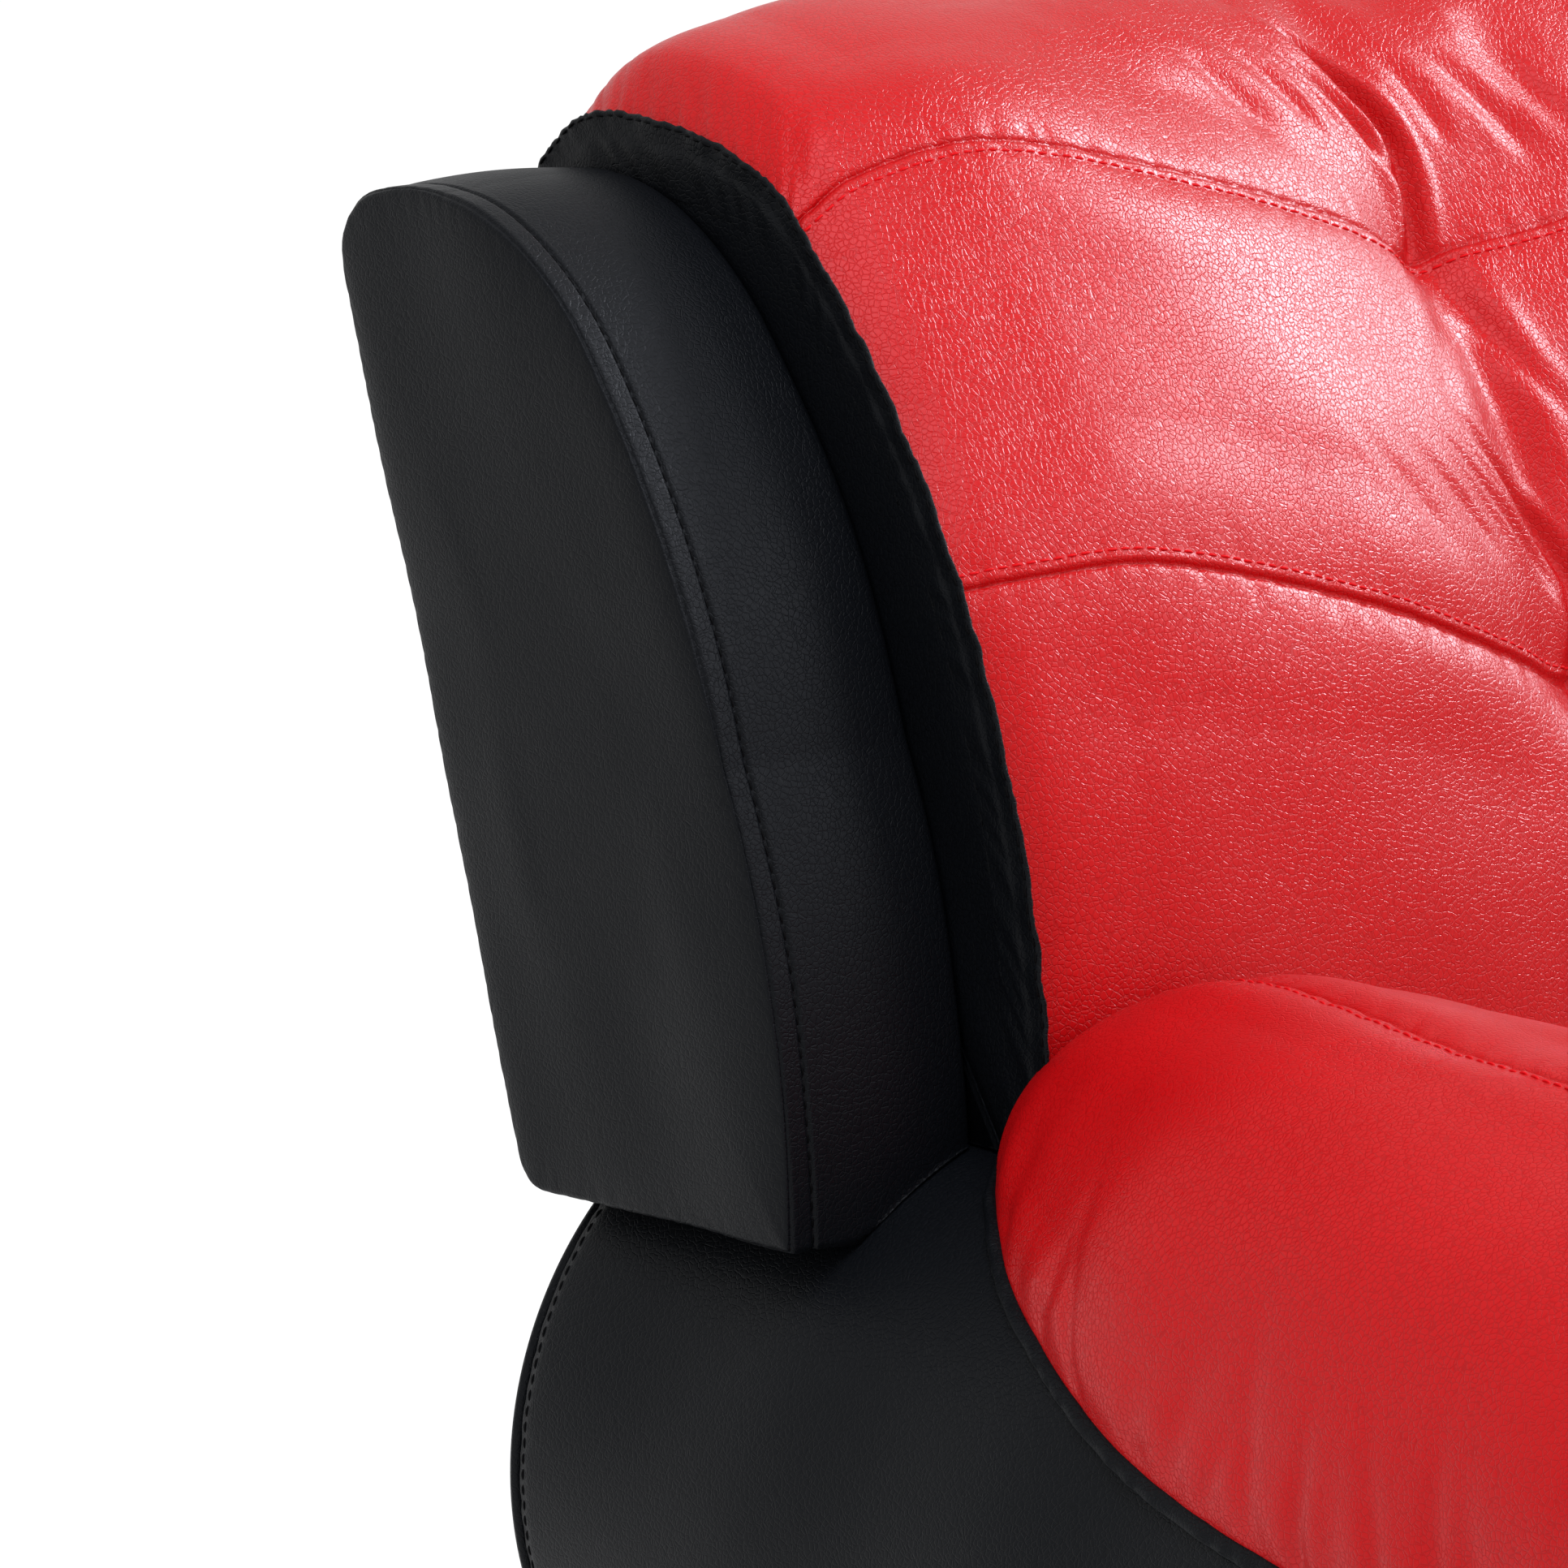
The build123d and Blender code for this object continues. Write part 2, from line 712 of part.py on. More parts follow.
def make_seat_rails():
    """Rails of the seat frame by name: outer box, arm rails and cross rails."""
    back = rear_rail_y - rail_thickness
    inner = rail_outer_x - rail_thickness
    near = rail_front_y + rail_thickness
    rails = {
        "front_rail": block((-inner, rail_front_y, base_z), (inner, near, rail_top_z)),
        "rear_rail": block((-inner, back, base_z), (inner, rear_rail_y, rail_top_z)),
    }
    for hole in bolt_holes():
        rails["rear_rail"] = rails["rear_rail"] - hole
    rails["arm_rails"] = []
    rails["cross_rails"] = []
    for name, side in sides:
        low_x, high_x = mirrored(inner, rail_outer_x, side)
        rails[name + "_side_rail"] = block(
            (low_x, rail_front_y, base_z), (high_x, roll_rear_y, rail_top_z)
        )
        low_x, high_x = mirrored(arm_inner_x, arm_inner_x + rail_thickness, side)
        rails["arm_rails"].append(block((low_x, near, base_z), (high_x, back, rail_top_z)))
        joint_x = seat_module / 2
        low_x, high_x = mirrored(joint_x - rail_thickness / 2, joint_x + rail_thickness / 2, side)
        rails["cross_rails"].append(block((low_x, near, base_z), (high_x, back, rail_top_z)))
    return rails


def make_seat_webbing():
    """Straps from front to rear with cross straps over them."""
    straps = []
    pitch = seat_module / seat_straps_per_seat
    for index in range(len(module_names) * seat_straps_per_seat):
        x = -arm_inner_x + (index + 1 / 2) * pitch
        straps.append(block(
            (x - webbing_width / 2, rail_front_y, rail_top_z),
            (x + webbing_width / 2, rear_rail_y, rail_top_z + webbing_thickness),
        ))
    depth = rear_rail_y - rail_front_y
    for index in range(seat_cross_straps):
        y = rail_front_y + (index + 1 / 2) * depth / seat_cross_straps
        out = arm_inner_x + rail_thickness
        straps.append(block(
            (-out, y - webbing_width / 2, rail_top_z + webbing_thickness),
            (out, y + webbing_width / 2, deck_z),
        ))
    return straps


def make_deck_pad():
    """Felted foam over the webbing, under the seat cushions."""
    return block(
        (-arm_inner_x + fit_gap, rail_front_y + fit_gap, deck_z),
        (arm_inner_x - fit_gap, rear_rail_y - rail_thickness, seat_foot_z - fit_gap),
    )


def save(name, shape):
    """Write one sub-part; a list becomes a group of separate solids."""
    solids = shape if isinstance(shape, list) else [shape]
    body = Compound([solid for item in solids for solid in item.solids()])
    body.label = name
    export_step(body, os.path.join("parts", name + ".step"))


os.makedirs("parts", exist_ok=True)

for index, name in enumerate(module_names):
    save("back_cushion_" + name, make_back_cushion(index))
    save("back_gussets_" + name, make_back_gussets(index))
    save("seat_cushion_" + name, make_seat_cushion(index))
    save("seat_gussets_" + name, make_seat_gussets(index))

for name, side in sides:
    save(name + "_wing", make_wing(side))
    save(name + "_wing_board", make_wing_board(side))
    save(name + "_arm_roll", make_arm_roll(side))
    save(name + "_arm_pad", make_arm_pad(side))
    save(name + "_arm_front_panel", make_arm_front_panel(side))
    save(name + "_arm_rear_panel", make_arm_rear_panel(side))
    save(name + "_arm_side_panel", make_arm_side_panel(side))
    save(name + "_arm_board", make_arm_board(side))
    save(name + "_arm_posts", make_arm_posts(side))

for index, x in enumerate(post_middles()):
    save("back_post_" + str(index + 1), make_back_post(x))

for name, rail in make_seat_rails().items():
    save(name, rail)

for name, (x, y) in foot_places().items():
    save("foot_" + name, make_foot(x, y))

save("back_top_rail", make_back_rail(frame_top - back_rail_height))
save("back_lumbar_rail", make_back_rail(lumbar_rail_rise))
save("back_webbing", make_back_webbing())
save("arm_inner_boards", [make_arm_inner_board(side) for name, side in sides])
save("seat_webbing", make_seat_webbing())
save("deck_pad", make_deck_pad())
save("front_rail_cover", make_front_cover())
save("upper_rear_cover", make_upper_rear_cover())
save("lower_rear_cover", make_lower_rear_cover())
save("dust_cover", make_dust_cover())
save("foot_blocks", make_foot_blocks())
save("foot_studs", make_studs())
save("frame_bolts", make_bolts())
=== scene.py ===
import json
from math import atan2, cos, hypot, pi, radians, sin

import bpy
import numpy as np
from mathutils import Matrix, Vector
from mathutils.kdtree import KDTree


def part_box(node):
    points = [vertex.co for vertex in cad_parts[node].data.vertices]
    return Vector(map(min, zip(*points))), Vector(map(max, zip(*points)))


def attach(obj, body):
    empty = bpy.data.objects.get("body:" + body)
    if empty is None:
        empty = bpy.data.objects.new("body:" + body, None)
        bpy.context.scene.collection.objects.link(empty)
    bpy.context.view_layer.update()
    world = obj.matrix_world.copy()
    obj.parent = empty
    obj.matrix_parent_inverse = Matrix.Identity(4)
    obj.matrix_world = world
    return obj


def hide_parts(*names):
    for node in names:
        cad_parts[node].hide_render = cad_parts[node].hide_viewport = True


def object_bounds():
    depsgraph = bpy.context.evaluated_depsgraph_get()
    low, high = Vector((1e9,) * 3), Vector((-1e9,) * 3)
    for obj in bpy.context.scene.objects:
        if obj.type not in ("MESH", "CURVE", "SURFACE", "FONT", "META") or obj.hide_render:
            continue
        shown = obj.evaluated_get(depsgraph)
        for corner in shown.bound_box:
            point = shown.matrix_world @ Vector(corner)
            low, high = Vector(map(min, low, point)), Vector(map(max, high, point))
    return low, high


bl_info = {
    "name": "Three-seater sofa",
    "version": (1, 0, 0),
    "blender": (4, 5, 0),
    "location": "3D View > Sidebar > Sofa",
    "description": "Upholsters the packed frame of a two-tone leather sofa",
    "category": "Object",
}

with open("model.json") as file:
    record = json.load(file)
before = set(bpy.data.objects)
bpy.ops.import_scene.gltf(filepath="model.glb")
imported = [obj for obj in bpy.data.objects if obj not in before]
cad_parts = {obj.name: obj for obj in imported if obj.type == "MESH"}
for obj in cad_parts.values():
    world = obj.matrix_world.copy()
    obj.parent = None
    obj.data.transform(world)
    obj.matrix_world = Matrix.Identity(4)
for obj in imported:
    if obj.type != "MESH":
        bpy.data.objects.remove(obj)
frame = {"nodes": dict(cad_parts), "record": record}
cad_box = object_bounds()

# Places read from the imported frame
BODY = "root"
MODULES = ("left", "middle", "right")
SIDES = (("left", -1), ("right", 1))
wing_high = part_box("left_wing")[1]
wing_outer_x = abs(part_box("left_wing")[0].x)
wing_inner_x = abs(wing_high.x)
body_rear_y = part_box("lower_rear_cover")[1].y
roll_low, roll_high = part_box("left_arm_roll")
roll_radius = (roll_high.x - roll_low.x) / 2
roll_x = abs(roll_low.x + roll_high.x) / 2
roll_z = roll_high.z - roll_radius
arm_inner_x = abs(roll_high.x)
front_y = cad_box[0].y
overall_height = cad_box[1].z
seat_low, seat_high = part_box("seat_gussets_middle")
back_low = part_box("back_gussets_middle")[0]

# Sizes that the pieces share with the frame
fit_gap = 0.0003
wing_foot_rise = 0.108
wing_depth = 0.263
wing_height = 0.344
flange_rise = 0.008
cushion_crown = 0.040
gusset_thickness = 0.004
head_roll_drop = 0.032
head_roll_setback = 0.006
frame_thickness = 0.0565
seat_height = 0.450
seat_crown = 0.024
seat_front_setback = 0.005
arm_pad_rear_gap = 0.008
arm_pad_thickness = 0.066
arm_pad_inner_angle = 15.0

wing_foot_y = wing_high.y - wing_depth
wing_foot_z = roll_z + wing_foot_rise

# Outline of a wing as (depth, height) shares from its front foot: where an arc starts, and
# the point that it passes
wing_outline_shares = (
    ((0.0, 0.0), (0.034, 0.241)),
    ((0.137, 0.474), (0.274, 0.703)),
    ((0.430, 0.872), (0.578, 0.962)),
    ((0.749, 1.0), (0.894, 0.994)),
)
wing_rear_top_share = (1.0, 0.956)
wing_rear_foot_share = (0.578, -0.029)

# Wings: depth of the outer panel and of its edge, and the topstitch's distance from the edge
wing_panel_depth = 0.0012
wing_edge_depth = 0.0008
wing_topstitch = 0.0105

# Distance of an arm roll's topstitches from its ends, and width of a stitched furrow
roll_topstitch = 0.0045
STITCHED_WIDTH = 0.0009

# Cloth simulation: step of its coarse rings, how near a seam the cover is held and from
# where it is free, the freedom below which a point is held, and how many of its points
# share in moving one point of a cover
COARSE = 0.010
HELD_WITHIN, FREE_BEYOND = 0.003, 0.06
SEWN_FREEDOM = 0.02
NEIGHBOURS = 12
MIRROR = np.array((-1, 1, 1))

# Points along hidden stretches of the sections
HIDDEN_BACK_ROWS = 12
HIDDEN_ROLL_ROWS = 8
SEAT_REAR_ROWS = 24
SEAT_BASE_ROWS = 40

# Sections of a back cushion from its side to its middle: place, crown, depth and height of
# the upper seam, depth and height of the lower seam, bulge between and below the seams
back_section_shares = (
    (0.0, 0.0, 0.399, 0.980, 0.061, 0.634, 0.05, 0.30),
    (0.08, 0.60, 0.396, 1.020, 0.046, 0.640, 0.10, 0.42),
    (0.28, 0.94, 0.390, 1.045, 0.030, 0.638, 0.16, 0.52),
    (0.62, 1.0, 0.390, 0.977, 0.030, 0.558, 0.22, 0.60),
    (0.88, 0.94, 0.402, 0.908, 0.045, 0.470, 0.20, 0.60),
    (1.0, 0.92, 0.407, 0.878, 0.053, 0.440, 0.18, 0.58),
)
head_crest_share = 0.783
back_front_foot_share = 0.12
tuft_offset = 0.013

# Creases from a tuft over the head roll and down the cushion, as shares of their reach:
# sideways place at the tuft, half-way and at the end, near and far end, width and depth
crease_reach = 0.085
rising_crease_shares = (
    (0.00, 0.05, -0.18, -0.10, 1.25, 0.045, 1.00),
    (0.06, -0.07, -0.49, 0.20, 1.15, 0.036, 0.45),
    (-0.20, -0.27, -0.56, 0.35, 1.05, 0.050, 0.20),
    (-0.30, -0.41, -0.88, 0.38, 1.05, 0.070, 0.30),
    (-0.62, -0.80, -1.25, 0.30, 1.00, 0.080, 0.18),
    (0.40, 0.35, 0.16, 0.38, 1.10, 0.055, 0.32),
    (0.94, 0.72, 0.40, 0.24, 1.05, 0.065, 0.36),
    (1.20, 1.02, 0.78, 0.26, 1.00, 0.060, 0.26),
)
falling_crease_shares = (
    (0.00, 0.02, 0.03, -0.15, 1.80, 0.110, 0.55),
    (0.02, 0.15, 0.38, 0.10, 1.10, 0.060, 0.32),
    (-0.04, -0.18, -0.40, 0.20, 0.90, 0.070, 0.16),
)

# Sections of a seat cushion: place, crown of the top, of the nose and of the front
seat_section_shares = (
    (0.0, 0.1, 0.35, 0.1),
    (0.10, 0.62, 0.85, 0.5),
    (0.40, 0.97, 1.0, 0.75),
    (1.0, 1.0, 1.0, 0.75),
)
seat_seam_share = 0.86
seat_nose_share = 0.52

# Sections of an arm pad from its rear to its front: place, angle of its outer seam in
# degrees, its thickness, and the angle of its crest seam
arm_pad_sections_share = (
    (0.0, 99.0, 0.30, 83.0),
    (0.02, 106.0, 0.58, 83.0),
    (0.045, 114.0, 0.78, 83.0),
    (0.13, 131.0, 0.99, 85.0),
    (0.28, 148.0, 1.08, 90.0),
    (0.5, 156.0, 1.03, 94.0),
    (0.75, 158.0, 0.88, 95.0),
    (0.92, 158.0, 0.68, 95.0),
    (0.975, 156.0, 0.46, 95.0),
    (1.0, 152.0, 0.12, 95.0),
)


def setting(name, description, default, unit="LENGTH"):
    """Number of a group, with its unit."""
    return bpy.props.FloatProperty(
        name=name, description=description, default=default, unit=unit)


def colour_setting(name, description, default):
    """Colour of a group, as the share of light that it gives back."""
    return bpy.props.FloatVectorProperty(
        name=name, description=description, default=default,
        subtype="COLOR", size=3, min=0, max=1)


class SofaShape(bpy.types.PropertyGroup):
    """How soft and uneven the stuffed pieces are."""

    tuft_depth: setting(
        "Tuft depth", "How far the thread of a tuft draws the cushion in", 0.012)
    valley_depth: setting(
        "Valley depth", "Depth of the upright valley through the tufts", 0.004)
    crease_depth: setting(
        "Crease depth", "Depth of the creases that fan out of a tuft", 0.0060)
    gather_depth: setting(
        "Gather depth", "Depth of the gathers along a sewn edge", 0.0024)
    unevenness: setting(
        "Unevenness", "Slow rise and fall of a stuffed surface", 0.0013)


class SofaSewing(bpy.types.PropertyGroup):
    """Stitches, seams and the flange."""

    stitch_length: setting("Stitch length", "From one needle hole to the next", 0.0058)
    thread_radius: setting("Thread radius", "Half the thickness of the thread", 0.00052)
    seam_depth: setting("Seam depth", "Depth of the groove of a sewn seam", 0.0014)
    topstitch_gap: setting(
        "Topstitch gap", "From a seam to the topstitch beside it", 0.0052)
    flange_width: setting("Flange width", "How far the sewn flange stands out", 0.0085)
    flange_wave: setting(
        "Flange wave", "How far the flange's edge waves sideways", 0.0009)


class SofaFinish(bpy.types.PropertyGroup):
    """Colours and grain of the covers."""

    red: colour_setting(
        "Red leather", "Colour of the cushions and pads", (0.465, 0.0030, 0.0044))
    black: colour_setting(
        "Black leather", "Colour of the wings, arms and covers", (0.0026, 0.0032, 0.0044))
    red_thread: colour_setting(
        "Red thread", "Colour of the thread in the red leather", (0.60, 0.003, 0.006))
    black_thread: colour_setting(
        "Black thread", "Colour of the thread in the black leather",
        (0.0012, 0.0012, 0.0016))
    grain_size: setting("Grain size", "Width of one pebble of the grain", 0.0022)
    grain_depth: setting("Grain depth", "Depth between the pebbles of the grain", 0.00009)


class SofaCloth(bpy.types.PropertyGroup):
    """Cloth simulation that fills out the covers of the cushions."""

    voxel: setting("Voxel", "Grid of the remeshed cover", 0.009)
    inset: setting("Inset", "How much smaller the cover starts", 0.004)
    pressure: setting("Pressure", "Pressure of the filling", 4.0, unit="NONE")
    most_movement: setting("Most movement", "Farthest that a point may move", 0.012)
    last_frame: bpy.props.IntProperty(
        name="Last frame", description="Frame at which the simulation is taken", default=16)


class SofaStudio(bpy.types.PropertyGroup):
    """Light and view."""

    key_power: setting("Key power", "Power of the main light", 64.0, unit="POWER")
    gloss_power: setting(
        "Gloss power", "Power of the lamp that shows only in the gloss", 128.0,
        unit="POWER")
    fill_power: setting(
        "Fill power", "Power of the soft light from the front", 26.0, unit="POWER")
    ambient: setting(
        "Ambient", "Level of the even light from all round", 1.14, unit="NONE")
    lens: setting("Lens", "Focal length of the camera", 177.4, unit="CAMERA")


def eased(rows, places):
    """Values on a smooth curve through rows whose first value is their place."""
    rows = np.asarray(rows, float)
    x, v = rows[:, 0], rows[:, 1:]
    slope = np.empty_like(v)
    slope[1:-1] = (v[2:] - v[:-2]) / (x[2:] - x[:-2])[:, None]
    slope[0] = (v[1] - v[0]) / (x[1] - x[0])
    slope[-1] = (v[-1] - v[-2]) / (x[-1] - x[-2])
    i = np.clip(np.searchsorted(x, places, side="right") - 1, 0, len(x) - 2)
    span = (x[i + 1] - x[i])[:, None]
    t = (places - x[i])[:, None] / span
    return (
        v[i] * (2 * t**3 - 3 * t**2 + 1)
        + slope[i] * span * (t**3 - 2 * t**2 + t)
        + v[i + 1] * (3 * t**2 - 2 * t**3)
        + slope[i + 1] * span * (t**3 - t**2)
    )


def both_halves(rows):
    """Rows from one side to the middle, carried on to the other side."""
    return tuple(rows) + tuple((2 - row[0],) + tuple(row[1:]) for row in rows[-2::-1])


def ruler(length, step, fine=0.0008, start=False, end=False, growth=0.2):
    """Shares along a length, closer together beside a seam at its start or end."""
    places = [0.0]
    while places[-1] < length:
        here = places[-1]
        near = min(here if start else length, length - here if end else length)
        places.append(here + min(step, fine + growth * near))
    return np.array(places) / places[-1]


def arc(start, tangent, end, places):
    """Points at shares along the arc that leaves its start along a tangent."""
    chord = end - start
    normal = np.array((-tangent[1], tangent[0]))
    half_turn = atan2(chord @ normal, chord @ tangent)
    if abs(half_turn) < 1e-6:
        return start + np.outer(places, chord)
    centre = start + normal * np.linalg.norm(chord) / (2 * sin(half_turn))
    spoke = start - centre
    turn = 2 * half_turn * places
    return centre + np.stack((
        spoke[0] * np.cos(turn) - spoke[1] * np.sin(turn),
        spoke[0] * np.sin(turn) + spoke[1] * np.cos(turn),
    ), 1)


def bulged(start, end, bulge, places):
    """Points along an arc that swells out of its chord on the way to the front."""
    chord = end - start
    length = np.linalg.norm(chord)
    outward = np.array((chord[1], -chord[0])) / length
    rise = 2 * atan2(2 * bulge, length)
    tangent = chord / length * cos(rise) + outward * sin(rise)
    return arc(start, tangent, end, places)


def through(start, via, end, places):
    """Points along the arc through three points."""
    chord = end - start
    length = np.linalg.norm(chord)
    along = chord / length
    across = np.array((along[1], -along[0]))
    to_via, from_via = via - start, end - via
    bend = atan2(to_via @ across, to_via @ along) - atan2(from_via @ across, from_via @ along)
    tangent = along * cos(bend) + across * sin(bend)
    return arc(start, tangent, end, places)


def straight(start, end, step):
    """Points along a line."""
    return start + np.outer(ruler(np.linalg.norm(end - start), step), end - start)


def evenly(start, end, count):
    """Points along a line at even distances."""
    return start + np.outer(np.linspace(0, 1, count), end - start)


def joined(corners, line, measure):
    """Lines from corner to corner."""
    return [line(a, b, measure) for a, b in zip(corners, corners[1:])]


def rounded(start, corner, end, places=np.linspace(0, 1, 12)):
    """Points round a corner, tangent to its two sides."""
    t = places[:, None]
    return (1 - t) ** 2 * start + 2 * t * (1 - t) * corner + t**2 * end


def closed_path(pieces):
    """One closed path from pieces that share their ends."""
    return np.concatenate([piece[:-1] for piece in pieces])


def at_x(x, section):
    """Section of (depth, height) points in space at one x."""
    return np.column_stack((np.full(len(section), x), section))


def at_y(y, x, z):
    """Section of points in space at one y."""
    return np.column_stack((x, np.full(len(x), y), z))


def wave(position, length, seed=0.0):
    """Irregular wave between -1 and 1 whose crests lie about a length apart."""
    turn = 2 * pi * position / length
    slow = 1.9 * np.sin(turn * 0.27 + seed)
    return np.sin(turn + slow + 1.1 * np.sin(turn * 0.113 + 2 * seed))


def uneven(points, seed, length=0.12):
    """Slow unevenness between about -1 and 1 over points in space."""
    rng = np.random.default_rng(seed)
    total = 0
    for _ in range(6):
        direction = rng.normal(size=3)
        direction *= 2 * pi / length / np.linalg.norm(direction) * rng.uniform(0.6, 1.5)
        total = total + np.sin(points @ direction + rng.uniform(0, 2 * pi))
    return total / 3


def gathers(position, distance, spacing, reach, seed):
    """Creases of leather drawn together by a seam: 0 on the puffs and -1 in a crease."""
    rng = np.random.default_rng(seed)
    low, high = float(position.min()), float(position.max())
    place = low + spacing * rng.uniform(0.2, 0.8)
    total = np.zeros_like(position)
    while place < high:
        width = spacing * rng.uniform(0.16, 0.3)
        length = reach * rng.uniform(0.45, 1.25)
        slant = rng.uniform(-0.35, 0.35)
        offset = (position - place - slant * distance) / width
        fade = np.exp(-(distance / length) ** 2)
        total -= rng.uniform(0.45, 1.0) * np.exp(-(offset**2)) * fade
        place += spacing * rng.uniform(0.65, 1.4)
    return total


def ring_normals(rings):
    """Unit normals, pointing out, of a body given as rings of points."""
    around = np.roll(rings, -1, axis=1) - np.roll(rings, 1, axis=1)
    normals = np.cross(around, np.gradient(rings, axis=0))
    if np.einsum("ijk,ijk->", normals, rings - rings.mean((0, 1))) < 0:
        normals = -normals
    return normals / np.maximum(np.linalg.norm(normals, axis=2, keepdims=True), 1e-12)


def run_around(rings):
    """Distance of each point from the first point of its ring."""
    steps = np.linalg.norm(np.diff(rings, axis=1), axis=2)
    return np.concatenate((np.zeros((len(rings), 1)), np.cumsum(steps, axis=1)), axis=1)


def mesh_piece(name, vertices, faces, material):
    """Smooth mesh object in the scene."""
    mesh = bpy.data.meshes.new(name)
    mesh.from_pydata(vertices.tolist(), [], faces)
    mesh.polygons.foreach_set("use_smooth", [True] * len(faces))
    mesh.materials.append(material)
    piece = bpy.data.objects.new(name, mesh)
    bpy.context.scene.collection.objects.link(piece)
    return piece


def ring_body(name, rings, material):
    """Closed body through rings of points, closed by its first and last ring."""
    count, size = rings.shape[:2]
    vertices = rings.reshape(-1, 3)
    index = np.arange(count * size).reshape(count, size)
    beside = np.roll(index, -1, axis=1)
    quads = np.stack((index[:-1], beside[:-1], beside[1:], index[1:]), 2).reshape(-1, 4)
    around = np.roll(rings, -1, axis=1) - np.roll(rings, 1, axis=1)
    normals = np.cross(around, np.gradient(rings, axis=0))
    if np.einsum("ijk,ijk->", normals, rings - rings.mean((0, 1))) < 0:
        quads = quads[:, ::-1]
        first, last = index[0], index[-1][::-1]
    else:
        first, last = index[0][::-1], index[-1]
    faces = quads.tolist()
    faces.append(first.tolist())
    faces.append(last.tolist())
    return mesh_piece(name, vertices, faces, material)


def filled_out(rings, free):
    """Shifts of a cover's points when a cloth simulation fills it out under pressure.

    The cover starts slightly smaller. It is held where its freedom is 0, at its seams and where
    it is fixed to the frame, and moves more and more towards a freedom of 1."""
    cloth = bpy.context.scene.sofa_cloth
    inset = ring_normals(rings) * (cloth.inset * free)[..., None]
    start = rings - inset
    piece = ring_body("cover_in_cloth", start, leather("red_leather"))
    voxels = piece.modifiers.new("voxels", "REMESH")
    voxels.mode = "VOXEL"
    voxels.voxel_size = cloth.voxel
    graph = bpy.context.evaluated_depsgraph_get()
    piece.data = bpy.data.meshes.new_from_object(piece.evaluated_get(graph))
    piece.modifiers.clear()
    before = mesh_points(piece.data)
    cover, sewn = tree_of(start.reshape(-1, 3)), free.reshape(-1) < SEWN_FREEDOM
    group = piece.vertex_groups.new(name="held")
    held = [i for i, point in enumerate(before) if sewn[cover.find(point)[1]]]
    group.add(held, 1.0, "REPLACE")
    fabric = piece.modifiers.new("fabric", "CLOTH")
    fabric.settings.vertex_group_mass = "held"
    fabric.settings.use_pressure = True
    fabric.settings.uniform_pressure_force = cloth.pressure
    fabric.settings.effector_weights.gravity = 0
    fabric.collision_settings.use_collision = False
    for moment in range(1, cloth.last_frame + 1):
        bpy.context.scene.frame_set(moment)
    graph = bpy.context.evaluated_depsgraph_get()
    moved = mesh_points(piece.evaluated_get(graph).data) - before
    bpy.context.scene.frame_set(1)
    bpy.data.objects.remove(piece)
    far = np.linalg.norm(moved, axis=1, keepdims=True)
    moved *= np.minimum(1, cloth.most_movement / np.maximum(far, 1e-9))
    points, fabric_tree = start.reshape(-1, 3), tree_of(before)
    shift = np.empty(points.shape)
    for i, point in enumerate(points):
        found = fabric_tree.find_n(point, NEIGHBOURS)
        weights = np.array([1 / (hit[2] + cloth.voxel) for hit in found])
        shift[i] = weights @ moved[[hit[1] for hit in found]] / weights.sum()
    return (shift.reshape(rings.shape) - inset) * free[..., None]


def mesh_points(mesh):
    """Points of a mesh as an array."""
    points = np.empty(3 * len(mesh.vertices))
    mesh.vertices.foreach_get("co", points)
    return points.reshape(-1, 3)


def tree_of(points):
    """Search tree over points."""
    tree = KDTree(len(points))
    for i, point in enumerate(points):
        tree.insert(point, i)
    tree.balance()
    return tree


def carried_over(shift, coarse, fine):
    """Shifts at the points of fine rings, from those at coarse rings of the same body."""
    middle = coarse.mean(1) - coarse.mean(1)[0]
    along = middle @ middle[-1]
    here = (fine.mean(1) - coarse.mean(1)[0]) @ middle[-1]
    row = np.interp(here, along, np.arange(len(along)))
    low = np.minimum(row.astype(int), len(along) - 2)
    share = (row - low)[:, None]
    run, fine_run = run_around(coarse), run_around(fine)
    run, fine_run = run / run[:, -1:], fine_run / fine_run[:, -1:]
    result = np.empty(fine.shape)
    for i, (first, part) in enumerate(zip(low, share)):
        mixed = shift[first] * (1 - part) + shift[first + 1] * part
        around = run[first] * (1 - part) + run[first + 1] * part
        for k in range(3):
            result[i, :, k] = np.interp(fine_run[i], around, mixed[:, k])
    return result


def dressed(piece, slot, *nodes):
    """Piece that rides on the sofa in the place of the CAD nodes that it stands for, which it
    hides; the slot is not used.
    """
    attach(piece, BODY)
    if nodes:
        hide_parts(*nodes)
    return piece


def upholstered(name, rings, slot, node):
    """Closed body through rings in the place of a CAD node, in the finish of its slot."""
    piece = dressed(ring_body(name, rings, finish_of(slot)), slot, node)


